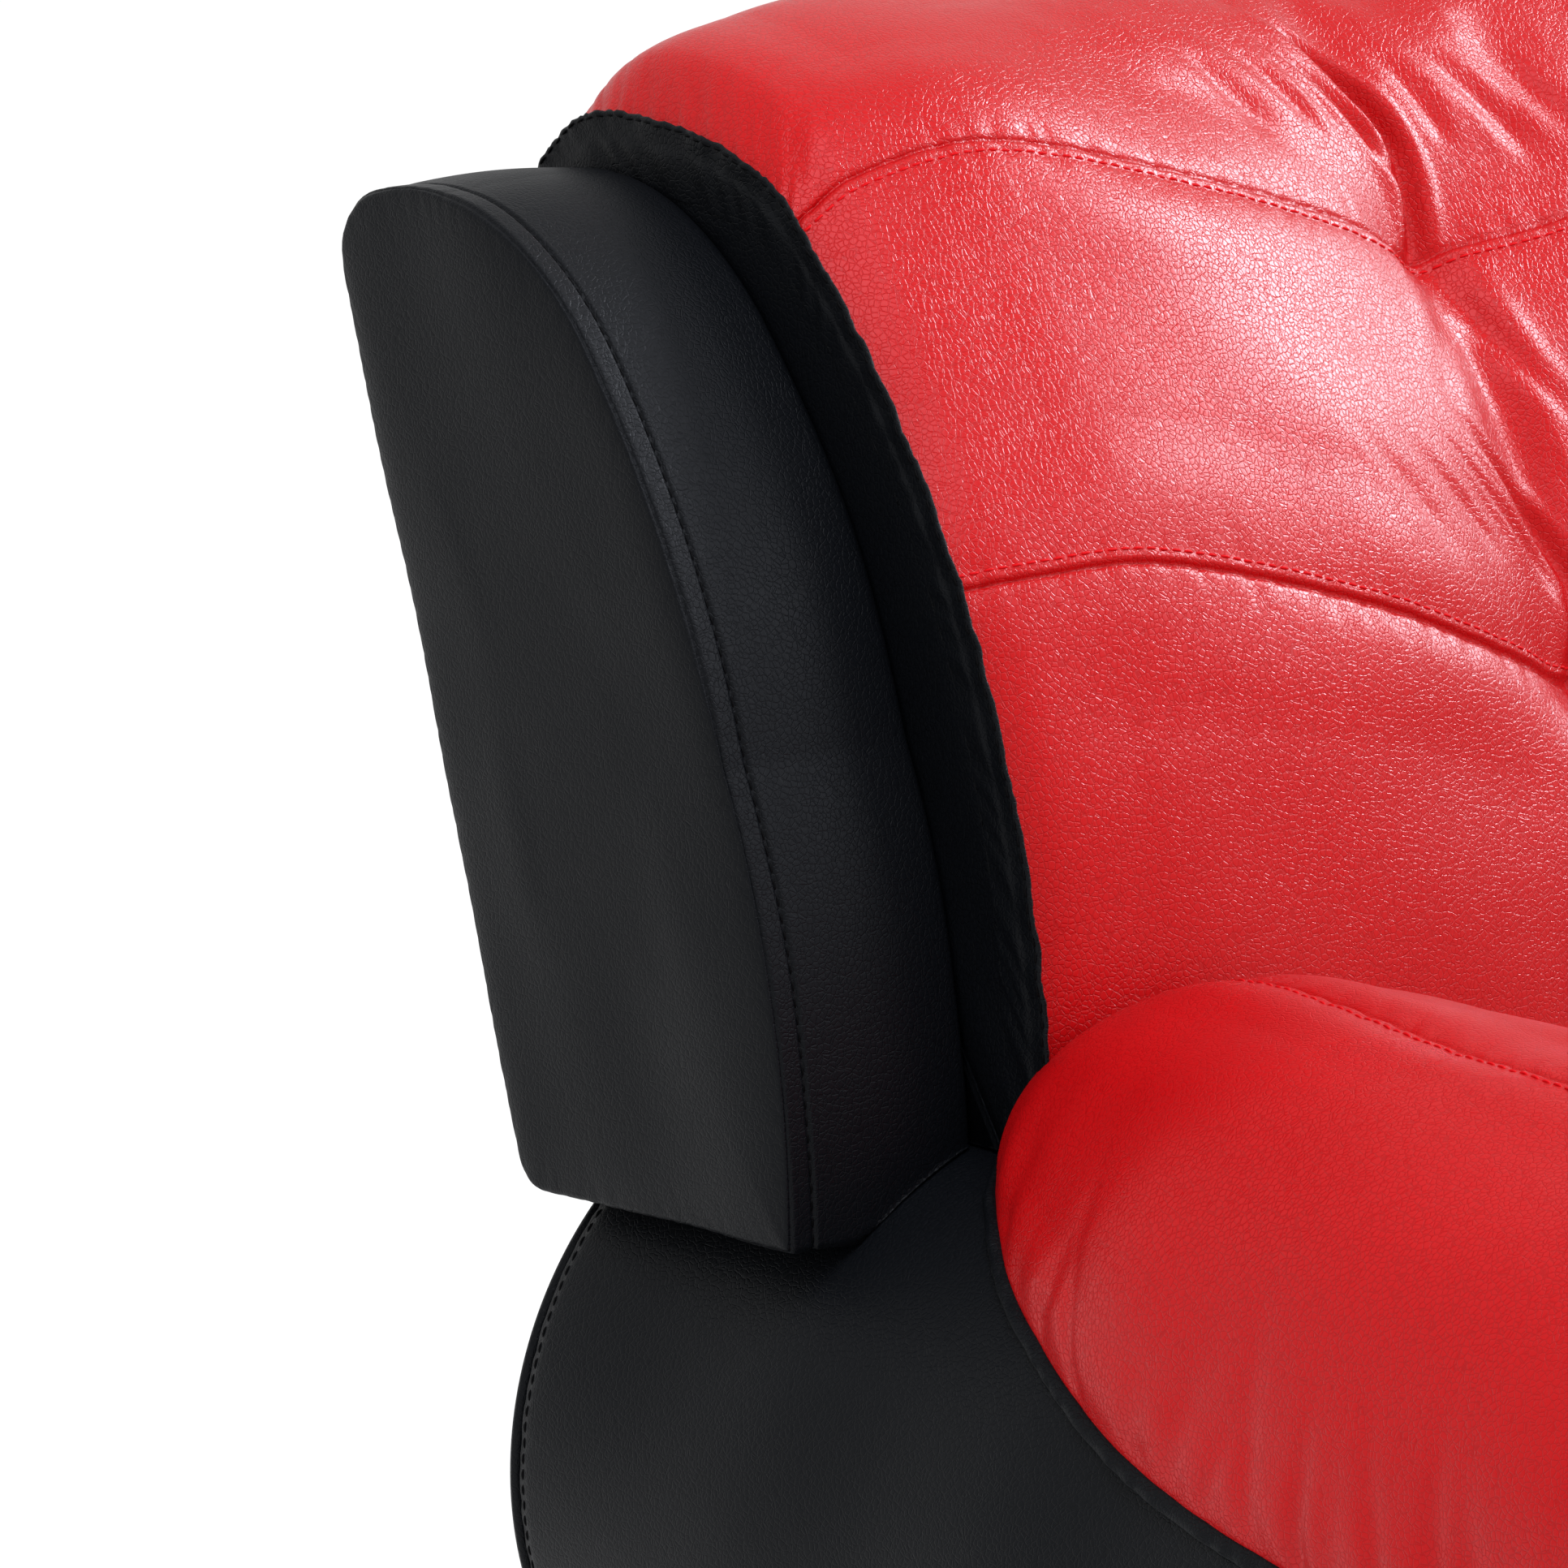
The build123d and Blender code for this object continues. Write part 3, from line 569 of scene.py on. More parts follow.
def stitches(name, lines, slot, sink=0.1):
    """Thread of one or more sewn lines, each a pair of points and normals."""
    sewing = bpy.context.scene.sofa_sewing
    length, radius = sewing.stitch_length, sewing.thread_radius
    along = np.array((-0.5, -0.4, -0.2, 0.0, 0.2, 0.4, 0.5)) * length * 0.8
    girth = np.array((0.35, 0.85, 1.0, 1.0, 1.0, 0.85, 0.35)) * radius
    lift = np.array((-1.3, -0.2, 0.35, 0.45, 0.35, -0.2, -1.3)) * radius - sink * radius
    sides, rings = 6, len(along)
    stitch = rings * sides
    turns = np.arange(sides) * 2 * pi / sides
    blocks = []
    for points, normals in lines:
        run = np.concatenate(([0], np.cumsum(np.linalg.norm(np.diff(points, axis=0), axis=1))))
        count = int(run[-1] / length)
        if count < 2:
            continue
        middle = (np.arange(count) + 0.5) * run[-1] / count
        place, head, tail, up = (
            np.stack([np.interp(at, run, source[:, k]) for k in range(3)], 1)
            for at, source in (
                (middle, points), (middle + length / 3, points),
                (middle - length / 3, points), (middle, normals),
            )
        )
        ahead = head - tail
        ahead /= np.linalg.norm(ahead, axis=1, keepdims=True)
        up -= ahead * np.einsum("ij,ij->i", up, ahead)[:, None]
        up /= np.linalg.norm(up, axis=1, keepdims=True)
        side = np.cross(ahead, up)
        ring = (
            place[:, None, None] + ahead[:, None, None] * along[None, :, None, None]
            + up[:, None, None] * lift[None, :, None, None]
            + (up[:, None, None] * np.cos(turns)[None, None, :, None]
               + side[:, None, None] * np.sin(turns)[None, None, :, None])
            * girth[None, :, None, None]
        )
        blocks.append(ring.reshape(-1, 3))
    vertices = np.concatenate(blocks)
    one = np.arange(stitch).reshape(rings, sides)
    next_one = np.roll(one, -1, axis=1)
    quads = np.stack((one[:-1], next_one[:-1], next_one[1:], one[1:]), 2).reshape(-1, 4)
    starts = np.arange(0, len(vertices), stitch)
    faces = (quads[None] + starts[:, None, None]).reshape(-1, 4).tolist()
    for start in starts.tolist():
        faces.append(list(range(start + sides - 1, start - 1, -1)))
        faces.append(list(range(start + stitch - sides, start + stitch)))
    material = thread(slot.replace("leather", "thread"))
    dressed(mesh_piece(name, vertices, faces, material), slot)


class Nodes:
    """Short way to add and join the nodes of a material or a world."""

    def __init__(self, owner):
        owner.use_nodes = True
        self.tree = owner.node_tree
        self.tree.nodes.clear()

    def add(self, kind, inputs=(), **settings):
        """Node with its settings made and its inputs joined or set."""
        node = self.tree.nodes.new(kind)
        for key, value in settings.items():
            setattr(node, key, value)
        for key, value in dict(inputs).items():
            if isinstance(value, bpy.types.NodeSocket):
                self.tree.links.new(value, node.inputs[key])
            else:
                node.inputs[key].default_value = value
        return node

    def place(self):
        """Position on the object."""
        return self.add("ShaderNodeTexCoord").outputs["Object"]

    def stretched(self, place, scale):
        """Position times a scale along each axis."""
        return self.add("ShaderNodeMapping", {"Vector": place, "Scale": scale}).outputs[0]

    def noise(self, place, scale, detail, distortion=0.0):
        """Irregular value between 0 and 1."""
        return self.add("ShaderNodeTexNoise", {
            "Vector": place, "Scale": scale, "Detail": detail, "Distortion": distortion,
        }).outputs["Fac"]

    def edges(self, place, scale):
        """Distance from the edges of irregular cells."""
        return self.add("ShaderNodeTexVoronoi", {
            "Vector": place, "Scale": scale, "Randomness": 1.0,
        }, feature="DISTANCE_TO_EDGE").outputs["Distance"]

    def mix(self, share, first, second, way="MIX"):
        """First colour with a share of the second."""
        return self.add("ShaderNodeMixRGB", {
            "Fac": share, "Color1": first, "Color2": second,
        }, blend_type=way).outputs[0]

    def math(self, operation, *values):
        """Result of a sum with values."""
        node = self.add("ShaderNodeMath", enumerate(values), operation=operation)
        return node.outputs[0]

    def sum(self, first, second, share):
        """First value plus a share of the second."""
        return self.math("MULTIPLY_ADD", second, share, first)

    def ramp(self, value, low, high, start=0.0, end=1.0):
        """Value from start to end while the input goes from low to high."""
        return self.add("ShaderNodeMapRange", {
            "Value": value, "From Min": low, "From Max": high, "To Min": start, "To Max": end,
        }, interpolation_type="SMOOTHSTEP").outputs["Result"]

    def seen_white(self):
        """1 for rays from the camera, in a gloss or through glass, and 0 for light."""
        rays = self.add("ShaderNodeLightPath").outputs
        seen = self.math("MAXIMUM", rays["Is Camera Ray"], rays["Is Glossy Ray"])
        return self.math("MAXIMUM", seen, rays["Is Transmission Ray"])

    def shade(self, colour, rough, relief, specular, metallic=0.0):
        """Surface of a colour and roughness, with a relief: height, depth and strength."""
        bump = self.add("ShaderNodeBump", zip(("Height", "Distance", "Strength"), relief))
        self.show(self.add("ShaderNodeBsdfPrincipled", {
            "Base Color": colour, "Roughness": rough, "Normal": bump.outputs[0],
            "Specular IOR Level": specular, "Metallic": metallic,
        }))

    def show(self, shader, output="ShaderNodeOutputMaterial"):
        """Shader as the surface of the material or world."""
        self.add(output, {"Surface": shader.outputs[0]})


def made_once(look):
    """Material of a slot, whose look is built when it is first asked for."""
    def material(slot, *values):
        name = slot + "_look"
        if name not in bpy.data.materials:
            look(Nodes(bpy.data.materials.new(name)), slot, *values)
        return bpy.data.materials[name]
    return material


def shaded(rgb, share):
    """Colour with an alpha of one, lighter or darker by a share."""
    return (*(min(channel * share, 1.0) for channel in rgb), 1.0)


@made_once
def leather(build, slot):
    """Pebble-grained leather: irregular cells with painted shade in the crevices between them,
    fine creases and uneven shine.
    """
    finish = bpy.context.scene.sofa_finish
    is_red = slot == "red_leather"
    colour = finish.red if is_red else finish.black
    smooth, rough = (0.26, 0.30) if is_red else (0.40, 0.48)
    place = build.place()
    density = 1 / finish.grain_size
    drift = build.add("ShaderNodeTexNoise", {
        "Vector": place, "Scale": density / 3, "Detail": 2.0,
    })
    bent = build.mix(0.0011, place, drift.outputs["Color"], "ADD")
    cells = build.edges(bent, density)
    folds = build.edges(bent, density / 3.1)
    patches = build.noise(place, 9.0, 3.0)
    pebble = build.ramp(cells, 0.0, 0.13)
    height = build.sum(pebble, build.ramp(cells, 0.0, 0.45), 0.25)
    height = build.sum(height, build.ramp(folds, 0.0, 0.05), 0.5)
    # Painted shade: the colour darkens in the crevices between the pebbles and is slightly
    # lighter on their tops.
    valley = build.mix(pebble, shaded(colour, 0.82), shaded(colour, 1.02))
    tint = build.mix(
        build.ramp(patches, 0.35, 0.65, 0.0, 0.5), valley, shaded(colour, 0.90))
    build.shade(tint, build.ramp(patches, 0.3, 0.7, smooth, rough),
                (height, finish.grain_depth, 1.0), 0.16 if is_red else 0.10)


@made_once
def thread(build, slot):
    """Twisted sewing thread in the colour of its leather."""
    colour = getattr(bpy.context.scene.sofa_finish, slot)
    twist = build.noise(build.place(), 3000.0, 1.0)
    tint = build.mix(twist, shaded(colour, 0.7), shaded(colour, 1.3))
    build.shade(tint, 0.6, (twist, 0.0001, 1.0), 0.06)


@made_once
def wood(build, slot, colour, stretch):
    """Sawn wood with its grain along one axis."""
    place = build.place()
    rings = build.noise(build.stretched(place, stretch), 1.0, 6.0, 0.6)
    height = build.sum(rings, build.noise(place, 420.0, 2.0), 0.5)
    tint = build.mix(
        build.ramp(rings, 0.35, 0.65), shaded(colour, 0.72), shaded(colour, 1.12))
    build.shade(tint, build.ramp(rings, 0.3, 0.7, 0.62, 0.78), (height, 0.0004, 0.7), 0.3)


@made_once
def woven(build, slot, colour, pitch, depth):
    """Plain weave of threads at a pitch, with painted shade in its hollows and painted light on
    its ridges.
    """
    place = build.place()
    weft, warp = (
        build.add("ShaderNodeTexWave", {
            "Vector": place, "Scale": 0.314 / pitch, "Distortion": 0.4, "Detail": 1.0,
        }, bands_direction=direction).outputs["Fac"]
        for direction in ("X", "DIAGONAL")
    )
    fuzz = build.noise(place, 900.0, 4.0)
    height = build.sum(build.sum(weft, warp, 1.0), fuzz, 0.8)
    # Painted shade and light: the colour follows the weave's relief, darker where it lies low
    # and lighter where it stands high; the fuzz adds random tone.
    tint = build.mix(
        build.ramp(height, 0.3, 2.2), shaded(colour, 0.6), shaded(colour, 1.3))
    build.shade(tint, build.ramp(fuzz, 0.3, 0.7, 0.82, 0.95), (height, depth, 0.8), 0.15)


@made_once
def moulded_plastic(build, slot):
    """Moulded plastic with a fine spark texture and rubbed patches."""
    place = build.place()
    spark = build.noise(place, 1400.0, 2.0)
    rub = build.noise(place, 60.0, 4.0)
    tint = build.mix(rub, (0.010, 0.010, 0.011, 1), (0.016, 0.016, 0.017, 1))
    build.shade(tint, build.ramp(rub, 0.3, 0.7, 0.42, 0.58), (spark, 0.00012, 1.0), 0.4)


@made_once
def zinc_steel(build, slot):
    """Zinc-plated steel with drawn streaks and dull spots."""
    place = build.place()
    streak = build.noise(build.stretched(place, (900.0, 60.0, 900.0)), 1.0, 3.0)
    spots = build.noise(place, 180.0, 3.0)
    tint = build.mix(spots, (0.46, 0.46, 0.48, 1), (0.62, 0.62, 0.60, 1))
    rough = build.ramp(spots, 0.3, 0.7, 0.30, 0.48)
    build.shade(tint, rough, (streak, 0.00005, 1.0), 0.5, metallic=1.0)


@made_once
def white_ground(build, slot):
    """Floor that shows white to the camera and keeps the shadow of the sofa."""
    matt = build.add("ShaderNodeBsdfDiffuse", {"Color": (0.92, 0.92, 0.92, 1)})
    glow = build.add("ShaderNodeEmission", {"Color": (1, 1, 1, 1), "Strength": 1.08})
    share = build.math("MULTIPLY", build.seen_white(), 0.82)
    build.show(build.add("ShaderNodeMixShader", {
        0: share, 1: matt.outputs[0], 2: glow.outputs[0],
    }))


# How each slot of the frame is finished: its maker, and what the maker needs
FRAME_FINISHES = {
    "timber": (wood, (0.62, 0.44, 0.26), (6.0, 90.0, 90.0)),
    "plywood": (wood, (0.66, 0.50, 0.32), (420.0, 18.0, 18.0)),
    "webbing": (woven, (0.055, 0.055, 0.052), 0.0022, 0.0004),
    "lining": (woven, (0.030, 0.030, 0.032), 0.0011, 0.0002),
    "foot_plastic": (moulded_plastic,),
    "steel": (zinc_steel,),
}


def finish_of(slot):
    """Material of any slot."""
    if "leather" in slot:
        return leather(slot)
    maker, *needs = FRAME_FINISHES[slot]
    return maker(slot, *needs)


def back_place(depth_share, height_share):
    """(depth, height) at shares of the wing's depth and height from its front foot."""
    return np.array((
        wing_foot_y + depth_share * wing_depth,
        wing_foot_z + height_share * wing_height,
    ))


rear_top = back_place(*wing_rear_top_share)
rear_foot = back_place(*wing_rear_foot_share)
lean = atan2(rear_top[0] - rear_foot[0], rear_top[1] - rear_foot[1])
lean_foot_z = rear_foot[1] - (rear_foot[0] - body_rear_y) / np.tan(lean)
lean_length = hypot(rear_top[0] - body_rear_y, rear_top[1] - lean_foot_z)
frame_top = lean_length - head_roll_drop


def lean_point(up, fore):
    """(depth, height) up the leaning rear face of the frame, and forward of it."""
    return np.array((
        body_rear_y + up * sin(lean) - fore * cos(lean),
        lean_foot_z + up * cos(lean) + fore * sin(lean),
    ))


def clear_of_roll(rings):
    """Rings lifted off the round of the arm's roll where they would sink into it."""
    across = np.abs(np.abs(rings[..., 0]) - roll_x)
    inside = across < roll_radius
    top = roll_z + np.sqrt(np.maximum(roll_radius**2 - across**2, 0)) + 2 * fit_gap
    lifted = rings.copy()
    lifted[..., 2] = np.where(inside, np.maximum(rings[..., 2], top), rings[..., 2])
    return lifted


def back_cushion_path(row, steps):
    """Closed side section of a back cushion in pieces, from its nape over the crest."""
    crown, high_depth, high_rise, low_depth, low_rise, middle, lower = row
    crest_z = overall_height - (cushion_crown + flange_rise) * (1 - crown)
    crest = np.array((wing_foot_y + head_crest_share * wing_depth, crest_z))
    nape = lean_point(lean_length, head_roll_setback)
    upper = back_place(high_depth, high_rise)
    lower_seam = back_place(low_depth, low_rise)
    toe = np.array((wing_foot_y - back_front_foot_share * wing_depth, back_low.z + fit_gap))
    ledge = lean_point(frame_top + fit_gap, frame_thickness + fit_gap)
    ledge_rear = lean_point(frame_top + fit_gap, fit_gap)
    foot_up = (toe[1] - lean_foot_z - frame_thickness * sin(lean)) / cos(lean)
    foot = lean_point(foot_up, frame_thickness + fit_gap)
    corners = (toe, foot, ledge, ledge_rear, nape)
    front = bulged(upper, lower_seam, cushion_crown * middle, steps[2])
    fall = front[0] - front[1]
    turn_y = upper[0] + (crest[1] - upper[1]) * fall[0] / fall[1]
    turn = np.array((min(max(turn_y, upper[0] + 0.02), crest[0] - 0.008), crest[1]))
    pieces = [
        arc(crest, np.array((1.0, 0.0)), nape, steps[0])[::-1],
        rounded(crest, turn, upper, steps[1]),
        front,
        bulged(lower_seam, toe, cushion_crown * lower, steps[3]),
    ]
    return pieces + joined(corners, evenly, HIDDEN_BACK_ROWS)


def back_steps(step):
    """Shares along the pieces of a back cushion's section, finest beside its seams."""
    return (
        1 - ruler(0.110, step)[::-1],
        ruler(0.130, step, end=True),
        ruler(0.190, step, start=True, end=True),
        ruler(0.240, step, start=True),
    )


def module_span(index, half):
    """X of the two ends of a cushion with its gussets, inside walls at a half width."""
    module = 2 * half / len(MODULES)
    low = -half + index * module + fit_gap
    return low, low + module - 2 * fit_gap


def groove(distance, width):
    """Soft ridge that is 1 at a distance of 0 and fades out within its width."""
    return np.exp(-((distance / width) ** 2))


def seam_band(distance, side):
    """Relief of a sewn seam: its groove, and the strip up to the topstitch on one side."""
    sewing = bpy.context.scene.sofa_sewing
    beside = distance * side - sewing.topstitch_gap
    strip = 0.0008 / (
        (1 + np.exp(-(distance * side - 0.0012) / 0.0004)) * (1 + np.exp(beside / 0.0005)))
    seam = -sewing.seam_depth * groove(distance, STITCHED_WIDTH)
    return seam + strip - 0.0005 * groove(beside, STITCHED_WIDTH)


def back_relief(rings, across, upper, lower, index):
    """Relief of a back cushion: seams, tufts, creases, gathers and slow unevenness."""
    shape = bpy.context.scene.sofa_shape
    edge = np.minimum(across - across.min(), across.max() - across)
    from_upper = np.hypot(across, upper)
    from_lower = np.hypot(across, lower)
    relief = seam_band(upper, 1) + seam_band(lower, -1)
    for seam in (upper, lower):
        relief -= 0.0015 * np.exp(-np.abs(seam) / 0.008)
    relief -= shape.tuft_depth * np.exp(-from_upper / 0.020)
    relief -= shape.tuft_depth * 1.15 * np.exp(-from_lower / 0.026)
    between = 1 / ((1 + np.exp(-upper / 0.02)) * (1 + np.exp(lower / 0.02)))
    relief -= shape.valley_depth * between * groove(across, 0.030)
    sway = 1 if index < 2 else -1
    for seam in (upper, lower):
        rising = (seam < 0) * creases(across, -seam, sway, rising_crease_shares)
        falling = (seam > 0) * creases(across, seam, sway, falling_crease_shares)
        relief += shape.crease_depth * (rising + falling) * (1 if seam is upper else 0.6)
    run = run_around(rings)
    loose = 0.35 + 0.65 / (1 + np.exp((run - 0.20) / 0.03))
    for side, seed in ((-1, 11), (1, 31)):
        pulled = gathers(run, edge, 0.0085, 0.022, seed + index)
        relief += 0.6 * shape.gather_depth * loose * (side * across > 0) * pulled
    for number, seam in enumerate((upper, lower)):
        relief += 0.0009 * gathers(across, np.abs(seam), 0.014, 0.011, 50 + 2 * index + number)
    calm = 1 - np.exp(-np.minimum(np.abs(upper), np.abs(lower)) / 0.02)
    relief += shape.unevenness * uneven(rings, 5 + index) * calm
    return relief


def stepped(values, low, high):
    """Smooth step from 0 to 1 while the values go from low to high."""
    t = np.clip((values - low) / (high - low), 0, 1)
    return t * t * (3 - 2 * t)


def creases(across, away, sway, rows):
    """Creases from a tuft: furrows between soft lips, along curves that lean one way."""
    share = away / crease_reach
    total = np.zeros_like(across)
    for start, middle, end, near, far, width, depth in rows:
        line = (
            start * (1 - share) * (1 - 2 * share) + 4 * middle * share * (1 - share)
            + end * share * (2 * share - 1)
        )
        offset = (across / crease_reach - sway * line) / width
        lips = np.exp(-((offset - 2) ** 2)) + np.exp(-((offset + 2) ** 2))
        shown = stepped(share, near, near + 0.25) * (1 - stepped(share, far - 0.45, far))
        total += depth * shown * (0.4 * lips - np.exp(-(offset**2)))
    return total


def inward_turn(index):
    """Direction in X from a cushion to the middle of the sofa, and 0 for the middle one."""
    return 1 - index


def tuft_places(places, index, half):
    """Places from 0 to 2 whose 1 is at the tuft, which lies off the cushion's middle."""
    tuft = 1 + inward_turn(index) * tuft_offset / half
    return np.where(places < tuft, places / tuft, 2 - (2 - places) / (2 - tuft))


def level_inside(places, index):
    """Places whose seams stay level for a while on the side of the sofa's middle."""
    turn = inward_turn(index)
    beyond = np.maximum(turn * (places - 1), 0)
    return places + turn * (beyond**2 - beyond)


def plain_back(index, step):
    """Rings of a back cushion without relief, its two seams' distances, and its hidden row."""
    low, high = module_span(index, wing_inner_x)
    start, end = low + gusset_thickness, high - gusset_thickness
    places = 2 * ruler(end - start, step, fine=0.0012, start=True, end=True)
    sewn = tuft_places(places, index, (end - start) / 2)
    shares = both_halves(back_section_shares)
    rows = eased(shares, places)
    rows[:, 1:5] = eased(shares, level_inside(sewn, index))[:, 1:5]
    steps = back_steps(step)
    plain = [closed_path(back_cushion_path(row, steps)) for row in rows]
    x = start + places / 2 * (end - start)
    rings = np.stack([at_x(here, path) for here, path in zip(x, plain)])
    upper_row = len(steps[0]) + len(steps[1]) - 2
    lower_row = upper_row + len(steps[2]) - 1
    run = run_around(rings)
    upper = run - run[:, upper_row:upper_row + 1]
    lower = run - run[:, lower_row:lower_row + 1]
    return rings, upper, lower, lower_row + len(steps[3]) - 1


def back_filling(index):
    """Shifts by which a back cushion fills out, held at its seams, its sides and its foot."""
    rings, upper, lower, hidden = plain_back(index, COARSE)
    run = run_around(rings)
    fixed = (upper, lower, run, run[:, hidden:hidden + 1] - run)
    free = freedom(rings, *fixed)
    free[:, hidden:] = 0
    return filled_out(rings, free)


def freedom(rings, *distances):
    """How freely the points move, from 0 at the ends and where a distance is 0, to 1."""
    x = rings[..., 0]
    ends = np.minimum(x - x.min(), x.max() - x)
    free = stepped(ends, HELD_WITHIN, FREE_BEYOND)
    for distance in distances:
        free = free * stepped(np.abs(distance), HELD_WITHIN, FREE_BEYOND)
    return free


def back_rings(index, step, filling=0):
    """Rings of a back cushion with its relief, and the distances from its two seams."""
    rings, upper, lower, hidden = plain_back(index, step)
    if np.any(filling):
        rings = rings + carried_over(filling, plain_back(index, COARSE)[0], rings)
    run = run_around(rings)
    middle = sum(module_span(index, wing_inner_x)) / 2 + inward_turn(index) * tuft_offset
    across = rings[:, :1, 0] - middle + np.zeros(run.shape)
    relief = back_relief(rings, across, upper, lower, index)
    fade = np.clip((hidden - 2 - np.arange(run.shape[1])) / 12, 0, 1)
    rings = rings + ring_normals(rings) * (relief * fade[None])[..., None]
    return clear_of_roll(rings), upper, lower


def row_at(rings, distance, target):
    """Line along the body where the distance has a value, with the normals there."""
    normals = ring_normals(rings)
    return tuple(np.array([
        [np.interp(target, far, row[:, k]) for k in range(3)]
        for row, far in zip(source, distance)
    ]) for source in (rings, normals))


def topstitches(name, rings, shown, *seams):
    """Topstitches in red leather, each beside a seam on one of its sides."""
    gap = bpy.context.scene.sofa_sewing.topstitch_gap
    stitches(name + "_topstitch", [
        row_at(rings[:, shown], distance[:, shown], side * gap) for distance, side in seams
    ], "red_leather")


class SOFA_OT_back_cushions(bpy.types.Operator):
    """Make the three tufted back cushions with their seams and topstitches."""

    bl_idname = "sofa.back_cushions"
    bl_label = "Back Cushions"

    def execute(self, context):
        outer = back_filling(0)
        fillings = (outer, back_filling(1), outer[::-1] * MIRROR)
        for index, module in enumerate(MODULES):
            rings, upper, lower = back_rings(index, 0.0023, fillings[index])
            name = "back_cushion_" + module
            upholstered(name + "_cover", rings, "red_leather", name)
            shown = slice(0, int(rings.shape[1] * 0.9))
            topstitches(name, rings, shown, (upper, 1), (lower, -1))
        return {"FINISHED"}


def inset_outline(outline, inset, even=0.006):
    """Closed outline drawn in evenly for a short way, and then towards its middle."""
    ahead = np.roll(outline, -1, axis=0) - np.roll(outline, 1, axis=0)
    normal = np.stack((-ahead[:, 1], ahead[:, 0]), 1)
    normal /= np.maximum(np.linalg.norm(normal, axis=1, keepdims=True), 1e-12)
    middle = outline.mean(0)
    if np.einsum("ij,ij->", normal, middle - outline) < 0:
        normal = -normal
    near = min(inset, even)
    toward = middle - outline
    reach = np.linalg.norm(toward, axis=1).mean()
    return outline + normal * near + toward * min((inset - near) / reach, 0.97)


def profile_rings(outline, stations, to_space, even=0.006):
    """Rings of an outline drawn in at each station by an inset and set at a depth."""
    return np.stack([
        to_space(inset_outline(outline, inset, even), depth) for inset, depth in stations
    ])


def gusset_outline(step=0.003):
    """Outline of a back cushion's side panel, as far as the flange's edge."""
    row = (0.167, 0.395, 0.985, 0.050, 0.648, 0.15, 0.65)
    return closed_path(back_cushion_path(row, back_steps(step)))


def flanged_panel(outline, x, side, seed):
    """Side panel of a cushion whose edge stands out as a waving sewn flange."""
    sewing = bpy.context.scene.sofa_sewing
    width = sewing.flange_width
    stations = [
        (0.030, 0.0), (0.018, 0.0), (width + 0.005, 0.0), (width + 0.003, 0.0002),
        (width + 0.0015, 0.0006), (width, 0.0010), (width - 0.002, 0.0011),
        (width * 0.5, 0.0011), (0.0018, 0.0011), (0.0007, 0.0013), (0.0, 0.0020),
        (0.0007, 0.0028), (0.0018, 0.0031), (width * 0.5, 0.0031), (width, 0.0033),
        (width + 0.003, 0.0036), (width + 0.008, 0.0037), (0.030, 0.0037),
    ]
    rings = profile_rings(
        outline, stations, lambda points, depth: at_x(x + side * depth, points))
    run = run_around(rings)[len(stations) // 2]
    inset = np.array(stations)[:, 0]
    stand = np.clip(1 - inset / (width * 1.6), 0, 1)[:, None]
    sway = 0.7 * wave(run, 0.031, seed) + 0.3 * wave(run, 0.011, seed + 2)
    rings[..., 0] += stand**1.5 * (sewing.flange_wave * sway)[None]
    rings[..., 2] += stand * 0.0004 * wave(run, sewing.stitch_length, seed)[None]
    puffed = np.clip((inset - width) / 0.004, 0, 1) * (np.arange(len(stations)) < 6)
    puff = 0.5 + 0.5 * wave(run, 0.019, seed + 1)
    rings[..., 0] += side * 0.0007 * puffed[:, None] * puff[None]
    return rings


def flange_line(rings, station, to_side):
    """Stitch line along the flange, with the flange's own face as its normal."""
    count = int(rings.shape[1] * 0.86)
    return rings[station, :count], np.full((count, 3), (to_side, 0.0, 0.0))


def flanged_sides(kind, module, span, outline, seed, fitted, stitched):
    """Both side panels of a cushion, with stitches on stations of their flanges."""
    node = kind + "_gussets_" + module
    lines = []
    for end, x, side in zip(("left", "right"), span, (1, -1)):
        rings = fitted(flanged_panel(outline, x, side, seed + (side < 0)))
        name = "_".join((kind, "gusset", module, end))
        upholstered(name, rings, "black_leather", node)
        lines += [flange_line(rings, station, turn * side) for station, turn in stitched]
    stitches(node + "_flange_stitch", lines, "black_leather")


class SOFA_OT_back_gussets(bpy.types.Operator):
    """Make the black side panels of the back cushions with their flanges."""

    bl_idname = "sofa.back_gussets"
    bl_label = "Back Gussets"

    def execute(self, context):
        outline = gusset_outline()
        for index, module in enumerate(MODULES):
            flanged_sides("back", module, module_span(index, wing_inner_x), outline, index,
                          clear_of_roll, ((8, -1), (12, 1)))
        return {"FINISHED"}


def wing_outline(step=0.0022):
    """D-shaped outline of a wing: arcs up the front and over the top, a straight rear."""
    starts = [back_place(*start) for start, via in wing_outline_shares]
    vias = [back_place(*via) for start, via in wing_outline_shares]
    ends = starts[1:] + [rear_top]
    pieces = [
        through(a, b, c, ruler(np.linalg.norm(c - a), step))
        for a, b, c in zip(starts, vias, ends)
    ]
    top_corner, foot_corner = 0.022, 0.012
    up = (rear_top - rear_foot) / np.linalg.norm(rear_top - rear_foot)
    fore = (starts[0] - rear_foot) / np.linalg.norm(starts[0] - rear_foot)
    far = np.linalg.norm(pieces[-1] - rear_top, axis=1)
    pieces[-1] = pieces[-1][far > top_corner]
    top_start, top_end = pieces[-1][-1], rear_top - up * top_corner
    pieces.append(rounded(top_start, rear_top, top_end))
    bend_start, bend_end = rear_foot + up * foot_corner, rear_foot + fore * foot_corner
    pieces.append(straight(top_end, bend_start, step))
    pieces.append(rounded(bend_start, rear_foot, bend_end))
    pieces.append(straight(bend_end, starts[0], step))
    return closed_path(pieces)


